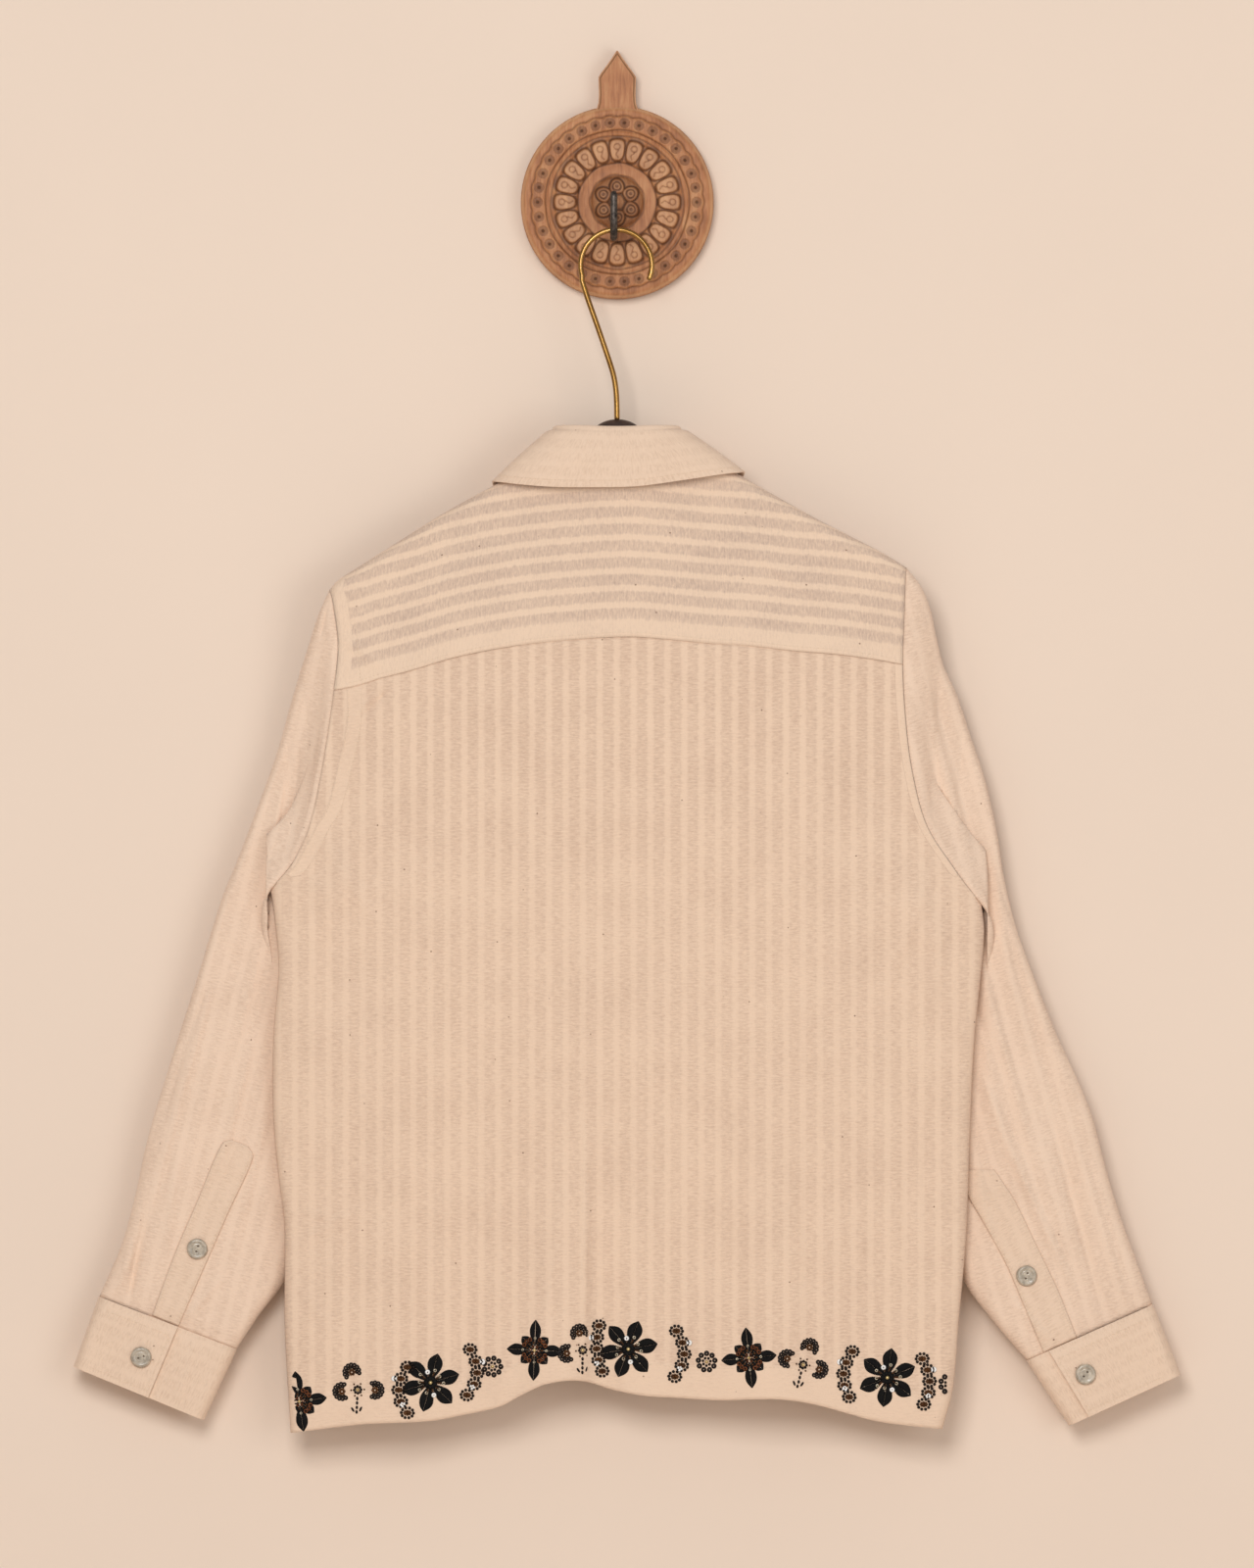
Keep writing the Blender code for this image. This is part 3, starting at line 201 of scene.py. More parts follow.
# The panels' wide band is the doubled hem; their painted shade in the sheer bands is less lower down
panel_khadi = khadi_material("khadi_self_stripe", "#ECCFB5", "#BC9B85", 0.27,
                             edge_band=0.025, fade=0.3, blur=0.0015)
# The yoke's stripes show most, as its sheer bands carry painted shade of the dark hollow and hanger
# behind it; its band is the seam allowance under its lower edge
yoke_khadi = khadi_material("khadi_self_stripe_yoke", "#EDD1B7", "#B0978A", 0.36,
                            edge_band=0.0125, blur=0.004)
# A sleeve hangs as two layers, so its stripes are faint
sleeve_khadi = khadi_material("khadi_sleeve", "#EFD3BB", "#C4A48C", 0.13)
# Cuffs, plackets and collar are folded double and pressed, so the stripes nearly vanish
doubled_khadi = khadi_material("khadi_doubled", "#EBCFB6", "#C2A389", 0.08, pitch=0.010)
print("cloths:", [m.name for m in bpy.data.materials if m.name.startswith("khadi")])

# %% [markdown]
# ## The cut of the shirt
# Every panel is placed from the shirt's own lines: the shoulder, the yoke seam, the armholes, the
# side seams and the hem, as short tables in millimetres. They are read by a smooth curve through
# their rows. The solids use the same tables with straight lines between the rows, so the thin
# cloth made here lies on them, and the many small columns of a grid give it its soft creases.

# %% Lines of the cut
HANG_PLANE = -45.0
SHOULDER_HALF_DEPTH = 7.4
SLEEVE_PLANE = -25.0
SLEEVE_HALF_DEPTH = 8.6
NECK_BULGE = 6.5
NECK_HALF_WIDTH = 66.0
FRONT_LAP = 16.0
# A distance for the second UV map that is far from any doubled edge, in mm
FAR = 1000.0

TOP_LINE = [
    (-217, -294), (-211, -287), (-199, -279), (-169, -260), (-139, -241), (-115, -227), (-91, -214),
    (-66, -200), (-50, -202), (-33, -203), (-16, -204), (0, -204), (16, -203), (33, -201.5),
    (50, -198), (66, -193), (92, -207), (116, -221), (148, -239), (179, -255), (202, -267),
    (218, -277),
]
YOKE_SEAM = [
    (-211, -368), (-193, -364), (-181, -360), (-154, -353), (-124, -344), (-84, -336), (-48, -331.5),
    (7, -328), (38, -330), (70, -333), (101, -335), (132, -338.5), (163, -341), (194, -345),
    (216, -349),
]
ARMHOLE = {
    LEFT: [
        (-294, -217), (-301.4, -214.6), (-334.7, -210.4), (-368, -213.4), (-401, -217.8),
        (-435.5, -223.8), (-470, -231.6), (-497, -243), (-510.6, -253.6), (-518, -261.5),
    ],
    RIGHT: [
        (-277, 218), (-284.4, 217.2), (-316.7, 216), (-349, 215.2), (-388.6, 217.2),
        (-430, 222.4), (-471.4, 233.6), (-504, 254.4), (-521.6, 267.4), (-529, 274.5),
    ],
}
SIDE_SEAM = {
    LEFT: [
        (-518, -261.5), (-545, -257.5), (-579, -255), (-631, -259), (-690, -259), (-735, -255),
        (-772, -250.5), (-846, -250.5), (-929, -246),
    ],
    RIGHT: [
        (-529, 274.5), (-551, 276.5), (-588, 273.5), (-633, 269), (-694, 266), (-778, 263),
        (-844, 257.5), (-895, 253), (-926, 245),
    ],
}
HEM_LINE = [
    (-246, -929), (-191, -922), (-140, -919.5), (-115, -915), (-89, -909), (-72, -900),
    (-55, -892), (-38, -889), (-23, -890), (-4, -896), (20, -900.5), (42, -902), (77, -904),
    (104, -903), (121, -903), (138, -905), (156, -909), (173, -914), (191, -919), (208, -922),
    (245, -926),
]
BODY_DEPTH = [(-190, 8.5), (-300, 11.0), (-420, 14.0), (-560, 16.0), (-760, 15.0), (-930, 13.5)]
BACK_FOLDS = [
    {"foot": (-46, -930), "head": (-30, -620), "height": 9.0, "width": 24.0},
    {"foot": (-12, -930), "head": (-12, -680), "height": -7.0, "width": 15.0},
    {"foot": (60, -930), "head": (48, -600), "height": -4.0, "width": 34.0},
    {"foot": (114, -930), "head": (98, -560), "height": 7.0, "width": 30.0},
    {"foot": (176, -930), "head": (170, -600), "height": -4.0, "width": 26.0},
    {"foot": (-112, -930), "head": (-96, -640), "height": -5.0, "width": 28.0},
    {"foot": (-176, -930), "head": (-168, -560), "height": 5.0, "width": 34.0},
    {"foot": (-236, -560), "head": (-150, -400), "height": 3.0, "width": 16.0},
    {"foot": (246, -570), "head": (160, -410), "height": 3.0, "width": 16.0},
]
FRONT_FOLDS = [
    {"foot": (-150, -930), "head": (-140, -560), "height": 5.0, "width": 40.0},
    {"foot": (-70, -930), "head": (-74, -600), "height": -4.0, "width": 30.0},
    {"foot": (80, -930), "head": (76, -600), "height": -4.0, "width": 30.0},
    {"foot": (156, -930), "head": (146, -560), "height": 5.0, "width": 40.0},
]


def mix(start, end, share):
    """Blend two numbers or points."""
    if isinstance(start, tuple):
        return tuple(mix(a, b, share) for a, b in zip(start, end))
    return start + (end - start) * share


def ease(value):
    """Ease from 0 to 1."""
    value = min(max(value, 0.0), 1.0)
    return value * value * (3.0 - 2.0 * value)


def read_curve(table, where, column=1):
    """Read a column of a table by a smooth curve through its rows, ordered up or down."""
    rows = table if table[0][0] < table[-1][0] else table[::-1]
    keys = [row[0] for row in rows]
    number = min(max(bisect.bisect_right(keys, where) - 1, 0), len(rows) - 2)
    if where <= keys[0]:
        return rows[0][column]
    if where >= keys[-1]:
        return rows[-1][column]
    slopes = []
    for place in (number, number + 1):
        before, after = rows[max(place - 1, 0)], rows[min(place + 1, len(rows) - 1)]
        slopes.append((after[column] - before[column]) / (after[0] - before[0]))
    gap = keys[number + 1] - keys[number]
    t = (where - keys[number]) / gap
    low, high = rows[number][column], rows[number + 1][column]
    return (
        low * (1 + 2 * t) * (1 - t) ** 2 + high * t * t * (3 - 2 * t)
        + gap * (slopes[0] * t * (1 - t) ** 2 - slopes[1] * t * t * (1 - t))
    )


def fold_height(across, height, folds):
    """Height of the body's folds: each swells from nothing at its head to full at its foot."""
    total = 0.0
    for fold in folds:
        foot_x, foot_z = fold["foot"]
        head_x, head_z = fold["head"]
        share = min((height - head_z) / (foot_z - head_z), 1.0)
        if share <= 0.0:
            continue
        offset = (across - mix(head_x, foot_x, share)) / fold["width"]
        total += fold["height"] * ease(share) * math.exp(-offset * offset)
    return total


CREASE_LIFT, CREASE_STEEP = 1.5, 0.35


def crease_height(across, height, creases):
    """Height of the small creases: ridges and troughs along short runs, one flank steeper."""
    total = 0.0
    for (x0, z0), (x1, z1), lift, width in creases:
        run = math.hypot(x1 - x0, z1 - z0)
        dx, dz = (x1 - x0) / run, (z1 - z0) / run
        along = ((across - x0) * dx + (height - z0) * dz) / run
        if -0.1 < along < 1.1:
            away = (across - x0) * dz - (height - z0) * dx
            reach = width if away * lift > 0.0 else CREASE_STEEP * width
            if abs(away) < 3.0 * reach:
                fade = math.sin(math.pi * min(max((along + 0.1) / 1.2, 0.0), 1.0)) ** 0.7
                total += CREASE_LIFT * lift * fade * math.exp(-(away / reach) ** 2)
    return total


def body_edge(side, height):
    """Where the body ends at one side: armhole above the armpit, side seam below it."""
    if height >= ARMHOLE[side][-1][0]:
        return read_curve(ARMHOLE[side], height)
    return read_curve(SIDE_SEAM[side], height)


def half_depth(across, height, folds):
    """Half the hollow of the body at a point: thin at its edges and at the shoulder."""
    inset = min(across - body_edge(LEFT, height), body_edge(RIGHT, height) - across)
    drop = read_curve(TOP_LINE, across) - SHOULDER_HALF_DEPTH - height
    swell = read_curve(BODY_DEPTH, height) - SHOULDER_HALF_DEPTH
    swell *= ease(inset / 110.0) * ease(drop / 110.0)
    neck = NECK_BULGE * math.exp(-(across / 42.0) ** 2) * math.exp(-((height + 200.0) / 75.0) ** 2)
    return SHOULDER_HALF_DEPTH + swell + neck + fold_height(across, height, folds) * ease(inset / 45.0)


def crumple(across, height, seed, size=0.5):
    """The slight unevenness of hand-woven cloth, in millimetres."""
    broad = noise.noise(Vector((across / 55.0, height / 90.0, seed)))
    fine = noise.noise(Vector((across / 14.0, height / 22.0, seed + 7.3)))
    return size * (broad + 0.35 * fine)

print("widest chest in mm:", round(body_edge(RIGHT, -551) - body_edge(LEFT, -518)))

# %% [markdown]
# ## A sheet of cloth
# Each panel starts as a flat grid, as cloth does on the cutting table. A function then moves every
# point of the grid to its place on the shirt, and another writes the two UV maps that the cloth's
# finish reads. A Solidify modifier gives the sheet its real thinness. A sleeve is a grid whose
# first and last columns fall together, so they are merged into one seam.

# %% Make a sheet
def shaped_grid(name, columns, rows, place, chart, material, keep=None, weld=False):
    """A grid shaped by place(u, v) in mm, with its two UV maps from chart(u, v), also in mm."""
    shape = bmesh.new()
    bmesh.ops.create_grid(shape, x_segments=columns, y_segments=rows, size=0.5)
    cut = shape.loops.layers.uv.new("cut")
    edges = shape.loops.layers.uv.new("edges")
    shares = {}
    for vertex in shape.verts:
        u = round((vertex.co.x + 0.5) * columns) / columns
        v = round((0.5 - vertex.co.y) * rows) / rows
        shares[vertex] = (u, v)
    if keep:
        spare = []
        for face in shape.faces:
            corners = [shares[vertex] for vertex in face.verts]
            if not keep(sum(c[0] for c in corners) / 4, sum(c[1] for c in corners) / 4):
                spare.append(face)
        bmesh.ops.delete(shape, geom=spare, context="FACES")
        bmesh.ops.delete(shape, geom=[v for v in shape.verts if not v.link_faces], context="VERTS")
    charts = {}
    for vertex in shape.verts:
        u, v = shares[vertex]
        charts[vertex] = chart(u, v)
        vertex.co = Vector(place(u, v)) * MM
    for face in shape.faces:
        face.smooth = True
        for loop in face.loops:
            a, b, c, d = charts[loop.vert]
            loop[cut].uv = (a * MM, b * MM)
            loop[edges].uv = (c * MM, d * MM)
    if weld:
        bmesh.ops.remove_doubles(shape, verts=shape.verts, dist=0.00001)
        bmesh.ops.recalc_face_normals(shape, faces=shape.faces)
    return finished(name, shape, material)


def finished(name, shape, material):
    """Turn a bmesh into an object at the origin."""
    mesh = bpy.data.meshes.new(name)
    shape.to_mesh(mesh)
    shape.free()
    mesh.materials.append(material)
    piece = bpy.data.objects.new(name, mesh)
    bpy.context.scene.collection.objects.link(piece)
    return piece


def cloth(name, columns, rows, place, chart, thickness, material, keep=None, weld=False):
    """A sheet of cloth or shell: a shaped grid that a modifier gives its thickness."""
    piece = shaped_grid(name, columns, rows, place, chart, material, keep, weld)
    wall = piece.modifiers.new("wall", "SOLIDIFY")
    wall.thickness = thickness * MM
    wall.offset = 0.0
    return piece


def fold_edges(piece, width):
    """Round a sheet's edges a little, as folded cloth has them."""
    edge = piece.modifiers.new("folded_edge", "BEVEL")
    edge.width = width
    edge.segments = 2
    edge.limit_method = "ANGLE"


def hang(piece, slot_name, *nodes):
    """Seat a finished piece on the part and hide the solids that it stands for."""
    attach(piece, "root")
    if nodes:
        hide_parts(*nodes)
    return piece

# %% [markdown]
# ## The back panel
# The back hangs nearly flat from the yoke and breaks into soft waves near the hem, where the
# weight of the beads pulls it. Its side edges turn round to the side seams. The body's edge is
# opened out along the armhole and closes below it, so the edge columns follow a quarter turn that
# starts flat at the armhole and ends full at the side seam.

# %% Back panel
CLOTH_THICKNESS = 0.6
CAP_SHARE = 3 / 132
ARMHOLE_SHARE = 0.27
# Heights where the back meets the yoke, the armpits and the hem at its left and right edge
BACK_TOP, ARMPITS, BACK_FOOT = (-368.0, -349.0), (-518.0, -529.0), (-929.0, -926.0)
SEAM_HALF = 5.5
ARMHOLE_SEAM_END = -508.0
BACK_CREASES = [
    ((-174.6, -369), (-190, -386), -1.8, 3.0), ((-190, -380), (-214, -420), 1.2, 6.0),
    ((-226, -470), (-180, -545), 1.4, 9.0), ((-238, -505), (-214, -600), -1.2, 8.0),
    ((240, -500), (206, -590), 1.4, 9.0), ((256, -530), (238, -640), -1.3, 9.0),
    ((-24, -560), (-27, -700), 1.1, 10.0), ((-22, -700), (-25, -885), 2.4, 5.0),
    ((-40, -760), (-62, -890), 1.5, 9.0), ((-250, -790), (-196, -760), 0.8, 6.0),
    ((-236, -762), (-205, -767), 0.9, 2.6), ((-212, -800), (-206, -842), 1.0, 3.0),
    ((-244, -810), (-214, -850), 0.7, 5.0), ((206, -640), (214, -900), 1.3, 14.0),
    ((150, -420), (142, -640), 0.8, 18.0), ((20, -380), (24, -620), -0.7, 22.0),
    ((-120, -380), (-128, -640), 0.7, 20.0), ((86, -690), (92, -900), -1.3, 12.0),
    ((140, -700), (146, -905), -1.4, 12.0), ((-150, -700), (-146, -915), -1.2, 13.0),
    ((-206, -640), (-214, -915), 1.3, 16.0), ((-88, -700), (-84, -905), 1.1, 10.0),
    ((196, -372), (214, -392), 1.0, 5.0), ((232, -700), (238, -915), -1.0, 10.0),
]
# Left armhole band: height, and how far its outer edge lies inside the armhole
BAND_INSET = [
    (-366, 9.5), (-386, 12.4), (-403, 13.0), (-428, 11.6), (-442, 11.2), (-461, 9.3), (-471, 5.7),
    (-480, 4.2), (-500, 3.0), (-518, 3.0),
]


def edge_turn(side, height):
    """How far the panel's edge is opened: a quarter turn at an armhole, none at a side seam."""
    armpit, opened = ARMHOLE[side][-1][0], ARMHOLE[side][-2][0]
    return math.pi / 2 * min(max((height - armpit) / (opened - armpit), 0.0), 1.0)


def edge_cap(side, height, share):
    """Distance in from the edge and share of the depth, over the rounded edge."""
    start = edge_turn(side, height)
    turn = start + (math.pi / 2 - start) * share
    inset = SHOULDER_HALF_DEPTH * (math.cos(start) - math.cos(turn) + start / (math.pi / 2) * share)
    return inset, math.sin(turn)


def body_across(u, left_z, right_z):
    """Across and depth share of a column, between the body's edges at these heights."""
    left_x, right_x = body_edge(LEFT, left_z), body_edge(RIGHT, right_z)
    if u < CAP_SHARE:
        inset, depth = edge_cap(LEFT, left_z, u / CAP_SHARE)
        return left_x + inset, depth
    if u > 1 - CAP_SHARE:
        inset, depth = edge_cap(RIGHT, right_z, (1 - u) / CAP_SHARE)
        return right_x - inset, depth
    inner_left = left_x + edge_cap(LEFT, left_z, 1.0)[0]
    inner_right = right_x - edge_cap(RIGHT, right_z, 1.0)[0]
    return mix(inner_left, inner_right, (u - CAP_SHARE) / (1 - 2 * CAP_SHARE)), 1.0


def edge_heights(v):
    """Heights of a row of the back at its left and right edge."""
    if v <= ARMHOLE_SHARE:
        return mix(BACK_TOP, ARMPITS, v / ARMHOLE_SHARE)
    return mix(ARMPITS, BACK_FOOT, (v - ARMHOLE_SHARE) / (1 - ARMHOLE_SHARE))


def back_place(u, v):
    """A point of the back panel in mm, with the depth share of its column."""
    left_z, right_z = edge_heights(v)
    across, depth_share = body_across(u, left_z, right_z)
    share = (across - body_edge(LEFT, left_z)) / (body_edge(RIGHT, right_z) - body_edge(LEFT, left_z))
    height = mix(left_z, right_z, share)
    if v <= ARMHOLE_SHARE:
        height += (read_curve(YOKE_SEAM, across) - mix(*BACK_TOP, share)) * (1 - v / ARMHOLE_SHARE)
    else:
        below = (v - ARMHOLE_SHARE) / (1 - ARMHOLE_SHARE)
        height += (read_curve(HEM_LINE, across) - mix(*BACK_FOOT, share)) * below
    return across, height, depth_share


def back_surface(across, height, depth_share=1.0, out=0.0):
    """The back's surface at a place seen from the room, moved out by some mm."""
    inset = min(across - body_edge(LEFT, height), body_edge(RIGHT, height) - across)
    soft = crease_height(across, height, BACK_CREASES) + crumple(across, height, 2.0)
    depth = half_depth(across, height, BACK_FOLDS) + soft * ease(inset / 30.0)
    return across, HANG_PLANE - depth * depth_share - out, height


def back_point(u, v):
    """Place of a grid point of the back; its top edge tucks under the yoke."""
    across, height, depth_share = back_place(u, v)
    tuck = 0.5 * ease((height - read_curve(YOKE_SEAM, across) + 4.0) / 4.0)
    return back_surface(across, height, depth_share, -tuck)


def back_chart(u, v):
    """Cut and edge distances of a grid point of the back."""
    across, height, _ = back_place(u, v)
    left = abs(across - body_edge(LEFT, height) - read_curve(BAND_INSET, height) - SEAM_HALF)
    right = abs(body_edge(RIGHT, height) - across - 3.0) * 1.8
    seam = min(left, right) + 60.0 * ease((ARMHOLE_SEAM_END - height) / 14.0)
    return across + 300.0, height + 1000.0, seam, height - read_curve(HEM_LINE, across)


back = cloth("khadi_back", 176, 190, back_point, back_chart, CLOTH_THICKNESS, panel_khadi)
hang(back, "khadi_cotton", "back")
print("back:", len(back.data.polygons), "faces")

# %% [markdown]
# ## The yoke
# The yoke is one piece of cloth with its stripes turned sideways. It runs from the seam across the
# back, up over the hanger's arms and down to a forward seam. One function follows that path: up
# the back, half a turn over the shoulder, and down the front flap. The faces between the neck
# points that would close the neck are left out, and the lower edge laps a little over the back.

# %% Yoke
YOKE_COLUMNS = [(0.0, -217.0), (0.36, -66.0), (0.64, 66.0), (1.0, 218.0)]
YOKE_UP, YOKE_OVER = 44 / 72, 60 / 72
YOKE_LIP, YOKE_LIP_HEIGHT = 0.4, 6.0
YOKE_CREASES = [
    ((-181, -352), (-205, -330), 1.6, 5.0), ((-150, -300), (-90, -262), 0.8, 9.0),
    ((150, -300), (96, -262), 0.8, 9.0), ((-40, -228), (-64, -250), 1.1, 5.0),
    ((40, -226), (62, -246), 1.0, 5.0), ((-196, -300), (-206, -340), -1.0, 6.0),
    ((190, -290), (206, -336), 1.0, 7.0), ((-20, -250), (-26, -322), 0.6, 14.0),
    ((60, -240), (84, -330), -0.7, 14.0), ((176, -292), (140, -330), -0.7, 8.0),
]
FRONT_SEAM_DROP = 33.3


def along_rows(rows, where, column=1):
    """Read a column of a short table by straight lines between its rows."""
    for low, high in zip(rows, rows[1:]):
        if where <= high[0]:
            return mix(low[column], high[column], (where - low[0]) / (high[0] - low[0]))
    return rows[-1][column]


def yoke_surface(across, height, out=0.0):
    """The yoke's back surface at a place, its lower edge a little proud of the back panel."""
    lip = YOKE_LIP * ease(1.0 - (height - read_curve(YOKE_SEAM, across)) / YOKE_LIP_HEIGHT)
    soft = crease_height(across, height, YOKE_CREASES) + crumple(across, height, 4.0)
    return across, HANG_PLANE - half_depth(across, height, BACK_FOLDS) - soft - lip - out, height


def yoke_place(column, v):
    """A point of the yoke in mm, from its back seam over the shoulder to its front seam."""
    side = LEFT if column < 0 else RIGHT
    shoulder = ARMHOLE[side][0][1]
    lean = ease((abs(column) - NECK_HALF_WIDTH) / (abs(shoulder) - NECK_HALF_WIDTH))
    in_neck = abs(column) < NECK_HALF_WIDTH
    base = read_curve(TOP_LINE, column) - (0.0 if in_neck else SHOULDER_HALF_DEPTH)
    arc_height, yoke_height = ARMHOLE[side][1][0], ARMHOLE[side][3][0]
    if v <= YOKE_UP:
        share = v / YOKE_UP
        across = column + (body_edge(side, mix(yoke_height, arc_height, share)) - shoulder) * lean
        return yoke_surface(across, mix(read_curve(YOKE_SEAM, across) - 1.0, base, share))
    if v <= YOKE_OVER:
        turn = math.pi * (v - YOKE_UP) / (YOKE_OVER - YOKE_UP)
        lift = SHOULDER_HALF_DEPTH * math.sin(turn)
        across = column + (body_edge(side, arc_height + lift) - shoulder) * lean
        return across, HANG_PLANE - SHOULDER_HALF_DEPTH * math.cos(turn), base + lift
    share = (v - YOKE_OVER) / (1 - YOKE_OVER)
    height = base - FRONT_SEAM_DROP * share
    across = column + (body_edge(side, arc_height - FRONT_SEAM_DROP * share) - shoulder) * lean
    across -= math.copysign(15.0 * share, column) * (1.0 - lean)
    return across, HANG_PLANE + half_depth(across, height, FRONT_FOLDS) + 0.7 * share, height


def yoke_chart(u, v):
    """Cut and edge distances of the yoke: its stripes run beside the back seam."""
    across, _, height = yoke_place(along_rows(YOKE_COLUMNS, u), v)
    drop = height - read_curve(YOKE_SEAM, across)
    if v > YOKE_UP:
        top = yoke_place(along_rows(YOKE_COLUMNS, u), YOKE_UP)[2] - read_curve(YOKE_SEAM, across)
        drop = top + 30.0 * (v - YOKE_UP) / (1 - YOKE_UP) * 2.0
    return drop + 200.0, across + 1000.0, abs(across - body_edge(LEFT, height) - SEAM_HALF), drop


def open_neck(u, v):
    """Keep every face but those over the neck."""
    return not (YOKE_COLUMNS[1][0] < u < YOKE_COLUMNS[2][0] and v > YOKE_UP)


yoke = cloth("khadi_yoke", 100, 72, lambda u, v: yoke_place(along_rows(YOKE_COLUMNS, u), v), yoke_chart,
             CLOTH_THICKNESS, yoke_khadi, keep=open_neck)
hang(yoke, "khadi_cotton", "yoke")
print("yoke:", len(yoke.data.polygons), "faces")

# %% [markdown]
# ## The fronts
# The photo never shows the fronts, so they are cut plainly: two panels under the yoke's forward
# seam with a round neckline, the left one lapped over the right by the width of the button band.
# They hang on the wall side and make the hollow between back and front.

# %% Fronts
FRONT_CREASES = [
    ((-120, -420), (-170, -620), 1.4, 16.0), ((110, -420), (168, -640), 1.4, 16.0),
    ((-60, -500), (-66, -900), -1.2, 14.0), ((70, -520), (74, -900), -1.2, 14.0),
    ((-200, -600), (-206, -910), 1.6, 15.0), ((196, -600), (206, -910), 1.6, 15.0),
    ((-150, -700), (-144, -915), -1.4, 12.0), ((128, -700), (134, -915), 1.3, 12.0),
]
FRONT_NECK_COLUMNS = {
    LEFT: [-208, -193, -169, -142, -115, -90, -66],
    RIGHT: [209, 193, 169, 142, 116, 91, 66],
}
NECKLINE_DROPS = [(0.3, 0.3), (0.6, 0.6), (0.85, 0.85), (1.0, 0.85)]
NECK_FRONT_HEIGHT = -262.0
FRONT_LAP_DEPTH = 1.6
FRONT_CAP = 0.055
FRONT_ARMHOLE_SHARE = 0.3
FRONT_RISE = 4.0
LAP_SLOPE = 30.0


def front_top(side):
    """Top edge of a front as rows of share, across and height: yoke seam, then neckline."""
    line = []
    for column in FRONT_NECK_COLUMNS[side]:
        across, _, height = yoke_place(column, 1.0)
        line.append((across, height))
    neck_x, neck_z = line[-1]
    centre = FRONT_LAP if side == LEFT else -FRONT_LAP
    for share, turn in NECKLINE_DROPS:
        drop = (NECK_FRONT_HEIGHT - neck_z) * math.sin(math.pi / 2 * turn / 0.85)
        line.append((mix(neck_x, centre, share), neck_z + drop))
    return [(number / (len(line) - 1), x, z) for number, (x, z) in enumerate(line)]


def front_place(side, top, u, v):
    """A point of a front panel in mm: u from the side seam to the centre, v from top to hem."""
    armpit, opened, hem = ARMHOLE[side][-1][0], ARMHOLE[side][2][0], SIDE_SEAM[side][-1][0]
    share = min(v / FRONT_ARMHOLE_SHARE, 1.0)
    below = max((v - FRONT_ARMHOLE_SHARE) / (1 - FRONT_ARMHOLE_SHARE), 0.0)
    edge_z = mix(armpit, hem, below) if v >= FRONT_ARMHOLE_SHARE else mix(opened, armpit, share)
    edge_x = body_edge(side, edge_z)
    inward = 1.0 if side == LEFT else -1.0
    if u < FRONT_CAP:
        inset, depth_share = edge_cap(side, edge_z, u / FRONT_CAP)
        across, height = edge_x + inward * inset, edge_z
        return across, HANG_PLANE + max(half_depth(across, height, FRONT_FOLDS) * depth_share, 0.5), height
    even = (u - FRONT_CAP) / (1 - FRONT_CAP)
    inner_x = edge_x + inward * edge_cap(side, edge_z, 1.0)[0]
    centre = FRONT_LAP if side == LEFT else -FRONT_LAP
    across = mix(along_rows(top, even), mix(inner_x, centre, even), ease(share))
    if v <= FRONT_ARMHOLE_SHARE:
        height = mix(along_rows(top, even, 2), armpit, share)
    else:
        height = mix(armpit, read_curve(HEM_LINE, across) + FRONT_RISE, below)
    lapped = ease((FRONT_LAP + LAP_SLOPE - abs(across)) / LAP_SLOPE)
    lapped *= 0.0 if side == LEFT else FRONT_LAP_DEPTH
    soft = crease_height(across, height, FRONT_CREASES) + crumple(across, height, 9.0)
    depth = half_depth(across, height, FRONT_FOLDS) - lapped + soft * ease(even * 5.0) * ease(v * 12.0)
    return across, HANG_PLANE + depth, height


def front_chart(side, top, u, v):
    """Cut and edge distances of a front panel."""
    across, _, height = front_place(side, top, u, v)
    inset = abs(across - body_edge(side, height)) + 60.0 * ease((ARMHOLE_SEAM_END - height) / 14.0)
    band = abs(across - (FRONT_LAP if side == LEFT else -FRONT_LAP)) / 6.0
    above_hem = height - read_curve(HEM_LINE, across) - FRONT_RISE
    return across + 300.0, height + 1000.0, min(inset, band), above_hem


for side in (LEFT, RIGHT):
    top = front_top(side)
    front = cloth("khadi_front_" + side, 64, 130, lambda u, v: front_place(side, top, u, v),
                  lambda u, v: front_chart(side, top, u, v), CLOTH_THICKNESS, panel_khadi)
    hang(front, "khadi_cotton", "front_" + side)
print("fronts:", len(front.data.polygons), "faces each")

# %% [markdown]
# ## The sleeves
# A sleeve is a tube that hangs flat: its room face and its wall face lie close together, with a
# fold at its outer edge and its seam at the inner one. Its two edges are tables of points from the
# armhole to the cuff, and the tube is a grid wound round them. At the armhole it tucks just under
# the body's edge, where the body's seam is turned over it and stitched down.

# %% Sleeves
SLEEVE_OUTER = {
    LEFT: [
        (0.0, -217, -294), (0.035, -225, -312), (0.075, -232, -333), (0.145, -244, -371),
        (0.225, -255.5, -412), (0.28, -265, -440), (0.39, -287, -498), (0.44, -298, -525),
        (0.55, -316, -583), (0.66, -335, -643), (0.775, -354, -706), (0.86, -364.5, -753),
        (0.925, -374, -787), (1.0, -391, -827),
    ],
    RIGHT: [
        (0.0, 218, -277), (0.025, 229, -291), (0.055, 236, -308), (0.09, 240.5, -328),
        (0.13, 246, -350), (0.17, 256.5, -373), (0.23, 267.5, -406), (0.29, 278, -438),
        (0.355, 286, -473), (0.43, 292.5, -513), (0.495, 301, -548), (0.57, 315.5, -588),
        (0.64, 330, -625), (0.75, 356, -683.5), (0.84, 370, -734.5), (0.90, 380, -767),
        (0.95, 390.5, -796), (1.0, 404, -833),
    ],
}
